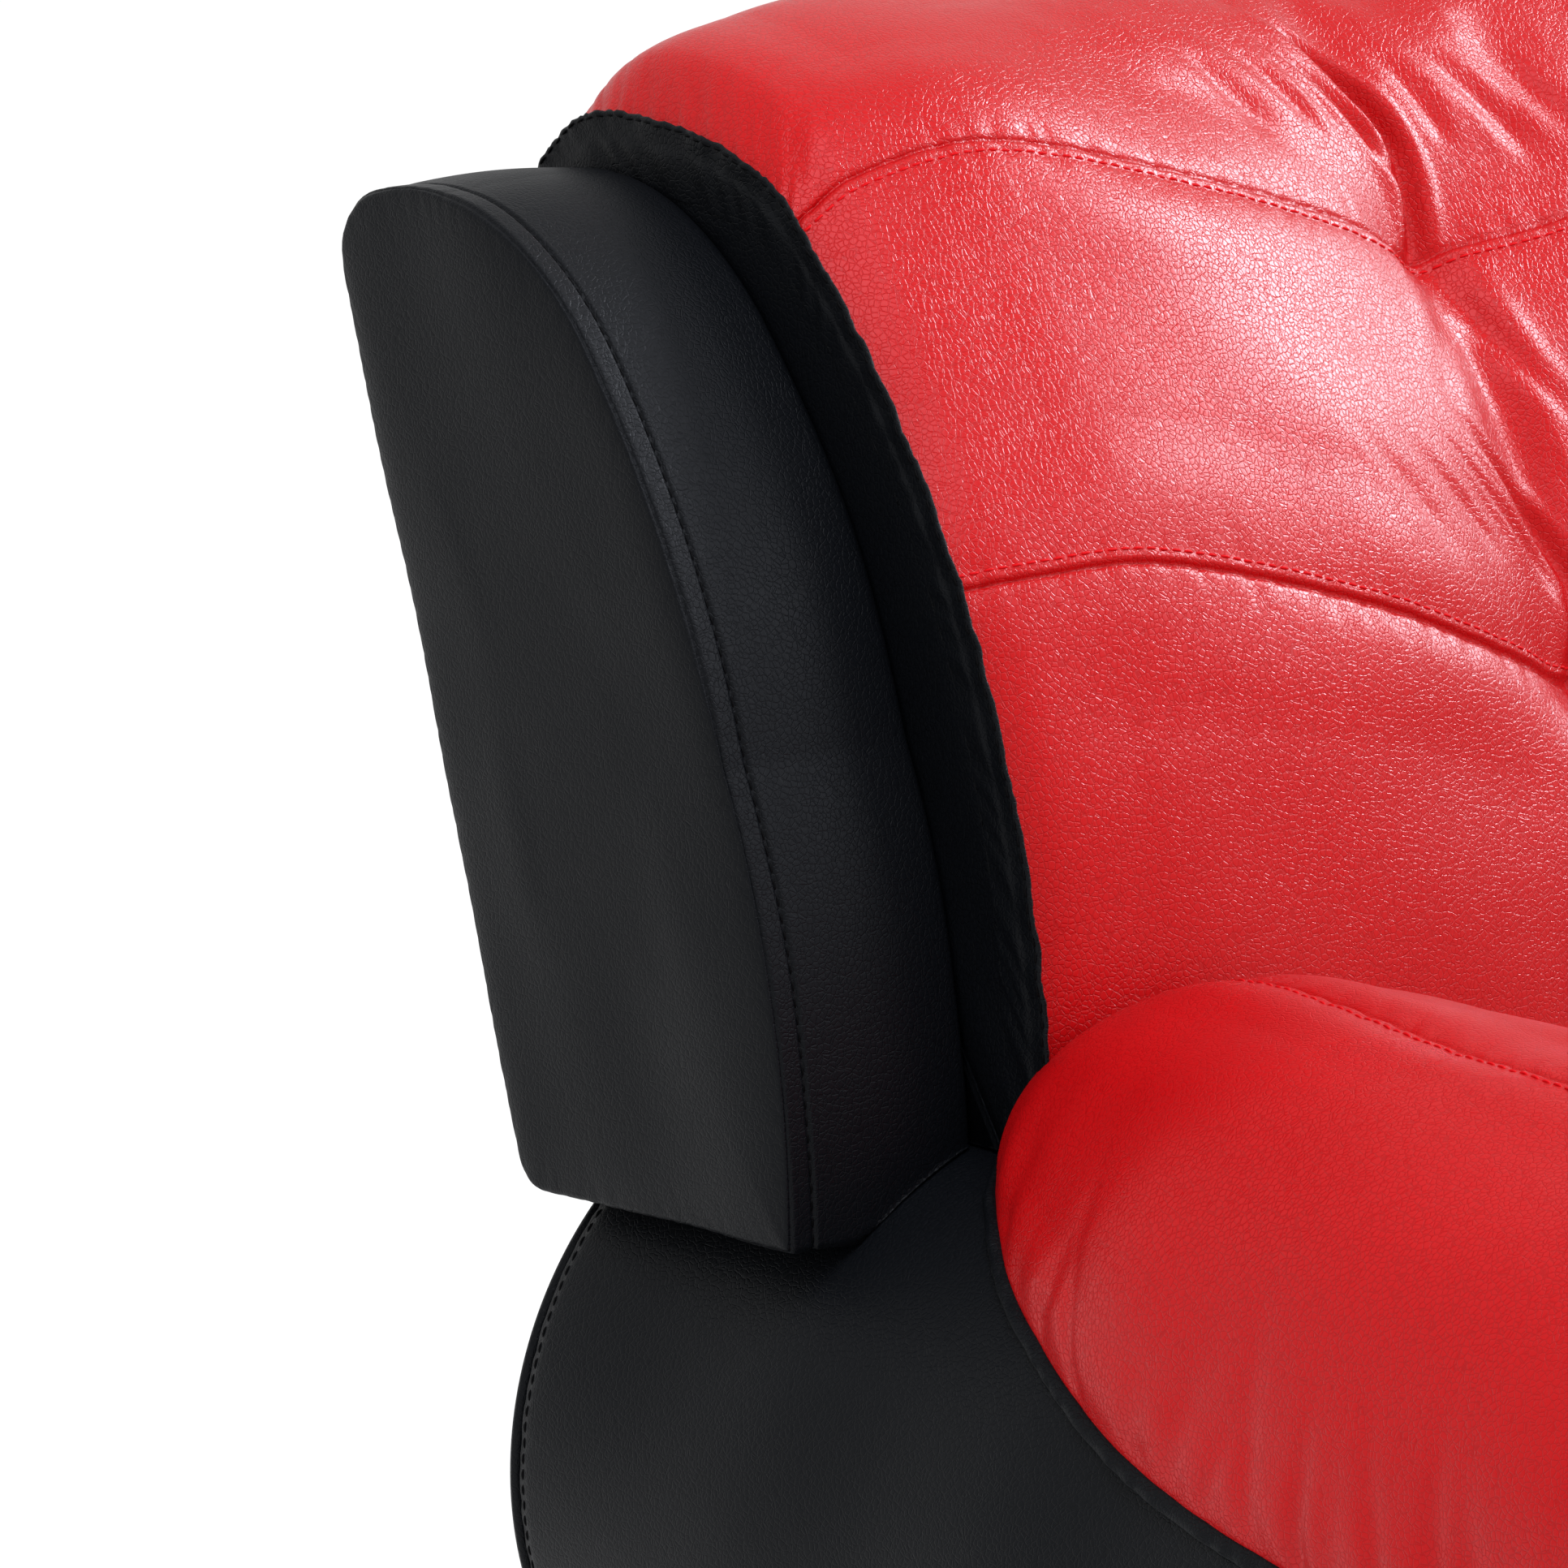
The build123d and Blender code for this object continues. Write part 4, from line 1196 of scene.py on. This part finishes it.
def wing_stations():
    """Insets and depths of a wing from the middle of its outer panel to its inner face."""
    width = wing_outer_x - wing_inner_x
    stations = []
    shares = ruler(0.12, 0.006, fine=0.0007, end=True, growth=0.12)[:-1]
    for inset in 0.12 * (1 - shares):
        swell = 0.0026 * (1 - np.exp(-inset / 0.012))
        stations.append((inset, wing_edge_depth - swell))
    for depth in np.arange(wing_panel_depth, 0.0140, 0.0006):
        stations.append((0.0004, depth))
    start = stations[-1][1]
    for share in ruler(width - start - 0.002, 0.003)[1:]:
        depth = start + share * (width - start - 0.003)
        stations.append((0.0004 - 0.0016 * sin(pi * share), depth))
    for inset, back in ((0.0012, 0.0014), (0.003, 0.0006), (0.008, 0.0004), (0.03, 0.0004)):
        stations.append((inset, width - back))
    return stations


class SOFA_OT_wings(bpy.types.Operator):
    """Make the two padded wings with their edge seams."""

    bl_idname = "sofa.wings"
    bl_label = "Wings"

    def execute(self, context):
        outline = wing_outline()
        stations = wing_stations()
        insets, depths = np.array(stations).T
        on_panel = depths < wing_panel_depth
        panel = int(np.count_nonzero(on_panel))
        edge = np.where(on_panel, -insets, depths - wing_edge_depth)[:, None]
        station = int(np.argmin(np.abs(edge - wing_topstitch)))
        for side_name, side in SIDES:
            rings = profile_rings(
                outline, stations,
                lambda points, depth: at_x(side * (wing_outer_x - depth), points), 0.0)
            run = run_around(rings)[panel] + np.zeros(edge.shape)
            relief = -0.0016 * groove(edge, 0.0011)
            relief = relief - 0.0014 * groove(edge - wing_topstitch, STITCHED_WIDTH)
            relief = relief + 0.0003 * gathers(run, np.abs(edge), 0.009, 0.009, 70)
            relief = relief + 0.0009 * uneven(rings, 71, 0.10)
            relief = relief * (1 - stepped(insets, 0.06, 0.10))[:, None]
            outward = ring_normals(rings)
            outward[: panel - 6] = (side, 0, 0)
            rings = clear_of_roll(rings + outward * relief[..., None])
            upholstered(side_name + "_wing_cover", rings, "black_leather",
                        side_name + "_wing")
            count = int(rings.shape[1] * 0.72)
            line = rings[station, :count], ring_normals(rings)[station, :count]
            stitches(side_name + "_wing_topstitch", [line], "black_leather")
        return {"FINISHED"}


def roll_section(radius, step):
    """Section of an arm's roll as (across, height) from its middle: a thick hook shape."""
    angles = np.radians(242) - ruler(np.radians(304) * radius, step) * np.radians(304)
    outside = np.stack((np.cos(angles), np.sin(angles)), 1) * radius
    half = 0.0633
    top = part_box("left_arm_board")[1].z - roll_z + fit_gap
    corners = [outside[-1], np.array((half, outside[-1][1])), np.array((half, top)),
               np.array((-half, top)), np.array((-half, outside[0][1])), outside[0]]
    return closed_path([outside] + joined(corners, evenly, HIDDEN_ROLL_ROWS)), len(outside)


class SOFA_OT_arm_rolls(bpy.types.Operator):
    """Make the stuffed rolls of the two arms, with a seam round their rear ends."""

    bl_idname = "sofa.arm_rolls"
    bl_label = "Arm Rolls"

    def execute(self, context):
        outline, outside = roll_section(roll_radius, 0.0035)
        length = roll_high.y - roll_low.y
        places = ruler(length, 0.006, fine=0.0007, start=True, end=True)
        y = roll_high.y - places * length
        rear, front = (y.max() - y)[:, None], (y - y.min())[:, None]
        shown = np.zeros(len(outline))
        shown[2:outside - 2] = 1
        for side_name, side in SIDES:
            rings = np.stack([
                at_y(depth, side * roll_x - side * outline[:, 0], roll_z + outline[:, 1])
                for depth in y
            ])
            run = run_around(rings)
            relief = -0.004 * np.exp(-rear / 0.0022)
            relief = relief - 0.0006 * groove(rear - roll_topstitch, 0.0011)
            relief = relief - 0.004 * np.exp(-front / 0.0022)
            relief = relief + 0.0006 * gathers(run, rear + 0 * run, 0.012, 0.012, 80)
            relief = relief + 0.0014 * uneven(rings, 81, 0.16)
            rings = rings + ring_normals(rings) * (relief * shown[None])[..., None]
            name = side_name + "_arm_roll"
            upholstered(name + "_cover", rings, "black_leather", name)
            normals = ring_normals(rings)
            lines = []
            for target in (roll_topstitch, length - roll_topstitch):
                station = int(np.argmin(np.abs(rear[:, 0] - target)))
                lines.append([each[station, 4:outside - 4] for each in (rings, normals)])
            stitches(name + "_topstitch", lines, "black_leather")
        return {"FINISHED"}


def pad_section(outer_angle, thickness_share, crest_angle, step):
    """Section of an arm pad over the roll as (across, height) from the roll's middle."""
    thickness = thickness_share * arm_pad_thickness
    radius = roll_radius + fit_gap

    def around(angle, reach):
        turn = radians(angle)
        return np.array((-cos(turn), sin(turn))) * reach

    outer = around(outer_angle, radius)
    crest = around(crest_angle, roll_radius + 0.97 * thickness)
    inner = around(arm_pad_inner_angle, radius)
    outer_puff = around((outer_angle + crest_angle) / 2, roll_radius + 0.80 * thickness)
    inner_puff = around((arm_pad_inner_angle + crest_angle) / 2, roll_radius + 0.88 * thickness)
    angles = np.radians(np.linspace(arm_pad_inner_angle, outer_angle, 24))
    under = np.stack((-np.cos(angles), np.sin(angles)), 1) * radius
    return [
        through(outer, outer_puff, crest, ruler(0.18, step, start=True, end=True)),
        through(crest, inner_puff, inner, ruler(0.20, step, start=True, end=True)),
        under,
    ]


def plain_pad(side, rear, length, step, section_step):
    """Rings of a pad without relief, their places, the crest's distance and the inner row."""
    places = ruler(length, step, fine=0.0006, start=True, end=True, growth=0.25)
    rows = eased(arm_pad_sections_share, places)
    sections = [pad_section(*row, section_step) for row in rows]
    crest_row = len(sections[0][0]) - 1
    inner_row = crest_row + len(sections[0][1]) - 1
    rings = np.stack([
        at_y(rear - place * length, side * (roll_x + path[:, 0]), roll_z + path[:, 1])
        for place, path in zip(places, map(closed_path, sections))
    ])
    run = run_around(rings)
    return rings, places, run - run[:, crest_row:crest_row + 1], inner_row


def pad_filling(rear, length):
    """Coarse rings of a pad, and the shifts by which it fills out between its seams."""
    coarse, _, crest, inner_row = plain_pad(1, rear, length, COARSE, COARSE)
    run = run_around(coarse)
    inner = run[:, inner_row:inner_row + 1] - run
    ends = np.minimum(rear - coarse[..., 1], coarse[..., 1] - rear + length)
    free = stepped(ends, HELD_WITHIN, FREE_BEYOND) * stepped(np.abs(crest), 0.003, 0.04)
    free = free * stepped(run, 0.002, 0.04) * stepped(inner, 0.002, 0.04)
    free[:, inner_row:] = 0
    return coarse, filled_out(coarse, free)


class SOFA_OT_arm_pads(bpy.types.Operator):
    """Make the puffed pads over the arms, with crest seams, frills and gathers."""

    bl_idname = "sofa.arm_pads"
    bl_label = "Arm Pads"

    def execute(self, context):
        rear = wing_foot_y - arm_pad_rear_gap
        length = rear - front_y
        cushion = back_rings(0, 0.008)[0]
        coarse, filling = pad_filling(rear, length)
        for side_name, side in SIDES:
            turn = np.array((side, 1, 1))
            rings, places, crest, inner_row = plain_pad(side, rear, length, 0.0032, 0.0024)
            rings = rings + carried_over(filling * turn, coarse * turn, rings)
            run = run_around(rings)
            inner = run[:, inner_row:inner_row + 1] - run
            along = np.broadcast_to((places * length)[:, None], run.shape)
            relief = seam_band(crest, -1) * 0.8
            relief = relief - 0.0012 * np.exp(-np.abs(crest) / 0.006)
            relief = relief + 0.0036 * gathers(along, run, 0.027, 0.048, 90)
            relief = relief + 0.0010 * gathers(along, np.abs(crest), 0.016, 0.010, 91)
            relief = relief + 0.0020 * gathers(along, np.abs(inner), 0.022, 0.026, 92)
            relief = relief + 0.0016 * uneven(rings, 93, 0.10)
            relief = relief * stepped(run, 0, 0.012) * stepped(inner, 0, 0.012)
            rings = rings + ring_normals(rings) * relief[..., None]
            rings = in_front_of(rings, cushion)
            name = side_name + "_arm_pad"
            upholstered(name + "_cover", rings, "red_leather", name)
            topstitches(name, rings, slice(0, inner_row), (crest, -1))
            frill(name, rings[:, 0], side)
        return {"FINISHED"}


def in_front_of(rings, cushion):
    """Rings pressed softly forward where they would run into a back cushion."""
    nowhere = 9.0
    columns = cushion[:, :, 0].mean(1)
    x = -np.abs(rings[..., 0])
    nearest = np.abs(columns[None, None] - x[..., None]).argmin(-1)
    limit = np.full(x.shape, nowhere)
    for column in np.unique(nearest):
        face = cushion[column][: int(cushion.shape[1] * 0.8)]
        face = face[face[:, 1] < wing_foot_y + 0.12]
        face = face[np.argsort(face[:, 2])]
        chosen = nearest == column
        limit[chosen] = np.interp(rings[..., 2][chosen], face[:, 2], face[:, 1])
    limit = np.where(x < columns[0] - 0.004, nowhere, limit) - 0.003
    short = np.logaddexp(0, (limit - rings[..., 1]) / 0.006)
    pressed = rings.copy()
    pressed[..., 1] = np.where(limit < nowhere / 2, limit - 0.006 * short, rings[..., 1])
    return pressed


def frill(pad, line, side):
    """Narrow black frill sewn along the outer edge of an arm pad."""
    out = np.stack((np.abs(line[:, 0]) - roll_x, line[:, 2] - roll_z), 1)
    out /= np.linalg.norm(out, axis=1, keepdims=True)
    radial = at_y(0.0, side * out[:, 0], out[:, 1])
    down = at_y(0.0, side * out[:, 1], -out[:, 0])
    run = np.concatenate(([0], np.cumsum(np.linalg.norm(np.diff(line, axis=0), axis=1))))
    ripple = 0.0006 * wave(run, 0.016, 3)[:, None]
    profile = ((-0.004, -0.0002), (-0.001, 0.0014), (0.002, 0.0022), (0.0042, 0.0020),
               (0.0048, 0.0012), (0.0042, 0.0004), (0.002, 0.0004), (-0.001, 0.0002))
    rings = np.stack([
        line + down * reach + radial * (lift + ripple * max(reach, 0) / 0.004 + 0.0006)
        for reach, lift in profile
    ], 1)
    upholstered(pad + "_frill", rings, "black_leather", pad)


def keyhole(step=0.004):
    """Outline of an arm's end as (across, height): the round over the straight base."""
    low_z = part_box("left_arm_front_panel")[0].z
    left = arm_inner_x + fit_gap
    right = abs(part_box("left_arm_side_panel")[0].x)
    radius = roll_radius - 0.002
    across = (right - roll_x) / radius
    end = np.arctan2(-np.sqrt(max(1 - across**2, 0)), across)
    angles = pi + (end - pi) * ruler(radius * (pi - end), step)
    round_end = np.stack((np.cos(angles), np.sin(angles)), 1) * radius + (roll_x, roll_z)
    corners = (round_end[-1], np.array((right, low_z)), np.array((left, low_z)), round_end[0])
    return closed_path([round_end] + joined(corners, straight, step))


class SOFA_OT_arm_facings(bpy.types.Operator):
    """Make the padded facings at the front and rear ends of the arms."""

    bl_idname = "sofa.arm_facings"
    bl_label = "Arm Facings"

    def execute(self, context):
        outline = keyhole()
        ends = (("front", front_y, roll_low.y, 1, 0.004),
                ("rear", body_rear_y, roll_high.y, -1, 0.0008))
        for side_name, side in SIDES:
            for end, outer_y, inner_y, inward, crown in ends:
                depth = abs(inner_y - outer_y) - fit_gap
                edge = 0.3 * depth
                stations = [(inset, crown * np.exp(-min(inset, 0.05) / 0.02))
                            for inset in (0.058, 0.054, 0.05, 0.03, 0.018, 0.010)]
                topstitch = len(stations) - 1
                stations += [
                    (0.006, crown * 0.85), (0.003, crown), (0.0012, crown + edge * 0.3),
                    (0.0003, crown + edge * 0.7), (0.0, depth * 0.6),
                    (0.0008, depth * 0.93), (0.003, depth), (0.03, depth),
                ]
                rings = profile_rings(outline, stations, lambda points, sunk: at_y(
                    outer_y + inward * sunk, side * points[:, 0], points[:, 1]))
                name = side_name + "_arm_" + end + "_panel"
                upholstered(name + "_cover", rings, "black_leather", name)
                normals = np.full((len(outline), 3), (0.0, -inward, 0.0))
                stitches(name + "_topstitch", [(rings[topstitch], normals)], "black_leather")
        return {"FINISHED"}


def seat_path(row, step):
    """Closed side section of a seat cushion: top, rolled nose and puffed front."""
    crown, nose, front = row
    top_z = seat_height - flange_rise
    height = top_z - seat_low.z
    front_face_y = front_y + seat_front_setback
    depth = seat_high.y - front_face_y
    heel = np.array((seat_high.y, seat_low.z))
    rear_top = np.array((seat_high.y, top_z))
    seam = np.array((seat_high.y - seat_seam_share * depth, top_z + crown * seat_crown / 2))
    front_seam = np.array((front_face_y + flange_rise, seat_low.z + seat_nose_share * height))
    toe = np.array((front_face_y + flange_rise + 0.02 * depth, seat_low.z))
    return [
        evenly(heel, rear_top, SEAT_REAR_ROWS),
        bulged(rear_top, seam, seat_crown * crown, ruler(0.60, step, end=True)),
        bulged(seam, front_seam, seat_crown * nose, ruler(0.14, step, start=True, end=True)),
        bulged(front_seam, toe, flange_rise * front, ruler(0.09, step, start=True)),
        evenly(toe, heel, SEAT_BASE_ROWS),
    ]


def plain_seat(index, step):
    """Rings of a seat without relief, its seams' distances, and its first and last rows."""
    low, high = module_span(index, arm_inner_x)
    start, end = low + gusset_thickness, high - gusset_thickness
    places = 2 * ruler(end - start, step, fine=0.0014, start=True, end=True)
    rows = eased(both_halves(seat_section_shares), places)
    counts = np.cumsum([len(piece) - 1 for piece in seat_path(rows[0], step)])
    x = start + places / 2 * (end - start)
    rings = np.stack([
        at_x(here, closed_path(seat_path(row, step))) for here, row in zip(x, rows)
    ])
    run = run_around(rings)
    upper = run - run[:, counts[1]:counts[1] + 1]
    lower = run - run[:, counts[2]:counts[2] + 1]
    return rings, upper, lower, (counts[0], counts[3])


def seat_filling(index):
    """Shifts by which a seat cushion fills out, held at its seams, its sides and its base."""
    rings, upper, lower, (first, last) = plain_seat(index, COARSE)
    free = freedom(rings, upper, lower)
    free[:, :first + 1] = free[:, last:] = 0
    return filled_out(rings, free)


def seat_rings(index, step, filling):
    """Rings of a seat cushion with its relief, and the distances from its two seams."""
    rings, upper, lower, (first, last) = plain_seat(index, step)
    rings = rings + carried_over(filling, plain_seat(index, COARSE)[0], rings)
    run = run_around(rings)
    middle = sum(module_span(index, arm_inner_x)) / 2
    across = rings[:, :1, 0] - middle + np.zeros(run.shape)
    edge = np.abs(across).max() - np.abs(across)
    shape = bpy.context.scene.sofa_shape
    relief = seam_band(upper, 1) + seam_band(lower, -1)
    for number, seam in enumerate((upper, lower)):
        relief = relief - 0.003 * np.exp(-np.abs(seam) / 0.010)
        seed = 150 + 2 * index + number
        relief = relief + 0.0010 * gathers(across, np.abs(seam), 0.016, 0.014, seed)
    pulled = gathers(run, edge, 0.024, 0.024, 111 + index)
    relief = relief + shape.gather_depth * 0.6 * pulled
    relief = relief + 2.2 * shape.unevenness * uneven(rings, 105 + index, 0.16)
    shown = np.zeros(rings.shape[1])
    shown[first + 1:last - 1] = 1
    shown = np.convolve(shown, np.ones(9) / 9, mode="same")
    return rings + ring_normals(rings) * (relief * shown[None])[..., None], upper, lower


def above_base(rings):
    """Rings kept above the base on which the seat lies."""
    rings[..., 2] = np.maximum(rings[..., 2], seat_low.z)
    return rings


class SOFA_OT_seat_cushions(bpy.types.Operator):
    """Make the three seat cushions and their flanged side panels."""

    bl_idname = "sofa.seat_cushions"
    bl_label = "Seat Cushions"

    def execute(self, context):
        outline = closed_path(seat_path((0.35, 0.55, 0.3), 0.004))
        filling = seat_filling(1)
        for index, module in enumerate(MODULES):
            rings, upper, lower = seat_rings(index, 0.0032, filling)
            name = "seat_cushion_" + module
            upholstered(name + "_cover", rings, "red_leather", name)
            shown = slice(SEAT_REAR_ROWS, rings.shape[1] - SEAT_BASE_ROWS - 4)
            topstitches(name, rings, shown, (upper, 1), (lower, -1))
            flanged_sides("seat", module, module_span(index, arm_inner_x), outline,
                          20 + index, above_base, ((8, -1),))
        return {"FINISHED"}


def rounded_box(low, high, step=0.012):
    """Outline of a rectangle with small round corners, as (first, second) coordinates."""
    corner = min(0.006, 0.3 * min(high[0] - low[0], high[1] - low[1]))
    middles = ((high[0] - corner, high[1] - corner), (low[0] + corner, high[1] - corner),
               (low[0] + corner, low[1] + corner), (high[0] - corner, low[1] + corner))
    points = []
    for turn, middle in enumerate(middles):
        angles = np.radians(90 * turn + np.linspace(0, 90, 6))
        points.append(np.array(middle) + corner * np.stack((np.cos(angles), np.sin(angles)), 1))
    ends = points + [points[0]]
    pieces = []
    for here, following in zip(ends, ends[1:]):
        pieces += [here[:-1], straight(here[-1], following[0], step)[:-1]]
    return np.concatenate(pieces)


def padded_slab(node, axis, outward, slot, crown=0.002):
    """Padded cover over a board, with soft edges and a slight crown."""
    low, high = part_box(node)
    others = [k for k in range(3) if k != axis]
    outline = rounded_box([low[k] for k in others], [high[k] for k in others])
    depth = high[axis] - low[axis]
    outer = high[axis] if outward > 0 else low[axis]
    edge = min(0.005, depth * 0.4)
    stations = [(inset, crown * np.exp(-min(inset, 0.09) / 0.03))
                for inset in (0.098, 0.094, 0.09, 0.06, 0.04, 0.025, 0.014, 0.008)]
    topstitch = len(stations) - 1
    stations += [(edge * 0.6, crown + 0.0004), (edge * 0.3, crown + edge * 0.25),
                 (edge * 0.08, crown + edge * 0.6), (0.0, crown + edge)]
    stations = [(inset, min(sunk, depth * 0.9)) for inset, sunk in stations]
    stations += [(0.0, depth * 0.93), (0.0012, depth), (0.02, depth)]

    def to_space(points, sunk):
        section = np.full((len(points), 3), outer - outward * sunk)
        section[:, others] = points
        return section

    rings = profile_rings(outline, stations, to_space)
    upholstered(node + "_cover", rings, slot, node)
    if "leather" in slot:
        normals = np.zeros((len(outline), 3))
        normals[:, axis] = outward
        stitches(node + "_topstitch", [(rings[topstitch], normals)], slot)


def lean_cover():
    """Leather stretched over the leaning rear of the back, lifted over the rolls of both arms.
    """
    columns = np.linspace(-wing_inner_x, wing_inner_x, 160)
    up = ruler(frame_top, 0.01)
    outer = np.array([lean_point(share * frame_top, 0.0) for share in up])
    inner = np.array([lean_point(share * frame_top, 0.0028) for share in up[::-1]])
    section = np.concatenate((outer, inner))
    rings = np.stack([at_x(x, section) for x in columns])
    sag = np.zeros(rings.shape[:2])
    sag[:, 2:len(outer) - 2] = 0.0011
    rings = rings + ring_normals(rings) * (sag * uneven(rings, 120, 0.3))[..., None]
    upholstered("upper_rear_cover_skin", clear_of_roll(rings), "black_leather",
                "upper_rear_cover")
    hem = lean_point(0.97 * frame_top, 0.0)
    points = np.array([(x, *hem) for x in columns])
    normals = np.broadcast_to((0, cos(lean), -sin(lean)), points.shape)
    stitches("upper_rear_cover_topstitch", [(points, normals)], "black_leather")


class SOFA_OT_covers(bpy.types.Operator):
    """Make the covers of the front rail, the arms' sides, the rear and the deck."""

    bl_idname = "sofa.covers"
    bl_label = "Covers"

    def execute(self, context):
        padded_slab("front_rail_cover", 1, -1, "black_leather", 0.003)
        for side_name, side in SIDES:
            padded_slab(side_name + "_arm_side_panel", 0, side, "black_leather", 0.002)
        padded_slab("lower_rear_cover", 1, 1, "black_leather", 0.0006)
        lean_cover()
        padded_slab("deck_pad", 2, 1, "lining", 0.002)
        return {"FINISHED"}


# Boards of the frame that are wrapped in black lining
WRAPPED = ("arm_inner_boards",)


class SOFA_OT_frame_finish(bpy.types.Operator):
    """Give the timber, boards, webbing, feet and fasteners their finishes."""

    bl_idname = "sofa.frame_finish"
    bl_label = "Frame Finish"

    def execute(self, context):
        for entry in frame["record"]["subparts"]:
            node, slot = entry["node"], entry["material_slot"]
            if slot in FRAME_FINISHES:
                materials = frame["nodes"][node].data.materials
                materials.clear()
                materials.append(finish_of("lining" if node in WRAPPED else slot))
        return {"FINISHED"}


# Lamps: name, width, and direction from what they light
LAMPS = (
    ("key", 2.40, (-0.15, -0.40, 0.90)),
    ("gloss", 1.30, (0.86, -0.14, 0.50)),
    ("fill", 1.60, (0.60, -0.66, 0.45)),
)
LAMP_DISTANCE = 3.0
LAMP_COLOUR = (0.95, 0.99, 1.10)
LIT_PLACE = Vector((-0.62, 0.28, 0.80))
CAMERA_PLACE = Vector((-2.5677, -1.7992, 1.2642))
CAMERA_AIM = Vector((-0.9599, 0.2148, 0.7023))
SENSOR_WIDTH = 36.0
FLOOR_RADIUS = 45
FLOOR_CORNERS = 96


def aimed(data, place, target):
    """Lamp or camera at a place, turned to a target."""
    thing = bpy.data.objects.new(data.name, data)
    thing.location = place
    thing.rotation_euler = (target - place).to_track_quat("-Z", "Y").to_euler()
    bpy.context.scene.collection.objects.link(thing)
    return thing


class SOFA_OT_studio(bpy.types.Operator):
    """Make the floor, the lights, the world and the camera."""

    bl_idname = "sofa.studio"
    bl_label = "Studio"

    def execute(self, context):
        studio = context.scene.sofa_studio
        turns = np.linspace(0, 2 * pi, FLOOR_CORNERS, endpoint=False)
        disc = np.stack((np.cos(turns), np.sin(turns), 0 * turns), 1) * FLOOR_RADIUS
        floor = mesh_piece("floor", disc, [list(range(FLOOR_CORNERS))],
                           white_ground("white_ground"))

        context.scene.world = bpy.data.worlds.new("studio_white")
        build = Nodes(context.scene.world)
        level = build.ramp(build.seen_white(), 0.0, 1.0, studio.ambient, 1.0)
        build.show(build.add("ShaderNodeBackground", {"Strength": level}),
                   "ShaderNodeOutputWorld")

        for name, width, direction in LAMPS:
            light = bpy.data.lights.new(name, "AREA")
            light.shape = "DISK"
            light.size = width
            light.energy = getattr(studio, name + "_power")
            light.color = LAMP_COLOUR
            lamp = aimed(light, LIT_PLACE + Vector(direction) * LAMP_DISTANCE, LIT_PLACE)
            lamp.visible_diffuse = name != "gloss"

        lens = bpy.data.cameras.new("camera")
        lens.lens = studio.lens
        lens.sensor_width = SENSOR_WIDTH
        context.scene.camera = aimed(lens, CAMERA_PLACE, CAMERA_AIM)
        context.scene.view_settings.view_transform = "Standard"
        return {"FINISHED"}


class SOFA_PT_panel(bpy.types.Panel):
    """Steps of the sofa, in order."""

    bl_label = "Sofa"
    bl_idname = "SOFA_PT_panel"
    bl_space_type = "VIEW_3D"
    bl_region_type = "UI"
    bl_category = "Sofa"

    def draw(self, context):
        for group_name, kind in GROUPS:
            group = getattr(context.scene, group_name)
            box = self.layout.box()
            for name in kind.__annotations__:
                box.prop(group, name)
        for step in STEPS:
            self.layout.operator(step.bl_idname)


GROUPS = (
    ("sofa_shape", SofaShape), ("sofa_sewing", SofaSewing),
    ("sofa_finish", SofaFinish), ("sofa_cloth", SofaCloth), ("sofa_studio", SofaStudio),
)
STEPS = (
    SOFA_OT_back_cushions, SOFA_OT_back_gussets, SOFA_OT_wings, SOFA_OT_arm_rolls,
    SOFA_OT_arm_pads, SOFA_OT_arm_facings, SOFA_OT_seat_cushions, SOFA_OT_covers,
    SOFA_OT_frame_finish, SOFA_OT_studio,
)


def register():
    for name, group in GROUPS:
        bpy.utils.register_class(group)
        setattr(bpy.types.Scene, name, bpy.props.PointerProperty(type=group))
    for step in STEPS:
        bpy.utils.register_class(step)
    bpy.utils.register_class(SOFA_PT_panel)


def unregister():
    bpy.utils.unregister_class(SOFA_PT_panel)
    for step in reversed(STEPS):
        bpy.utils.unregister_class(step)
    for name, group in reversed(GROUPS):
        delattr(bpy.types.Scene, name)
        bpy.utils.unregister_class(group)


def main():
    register()
    for step in STEPS:
        area, action = step.bl_idname.split(".")
        getattr(getattr(bpy.ops, area), action)()


if __name__ == "__main__":
    main()
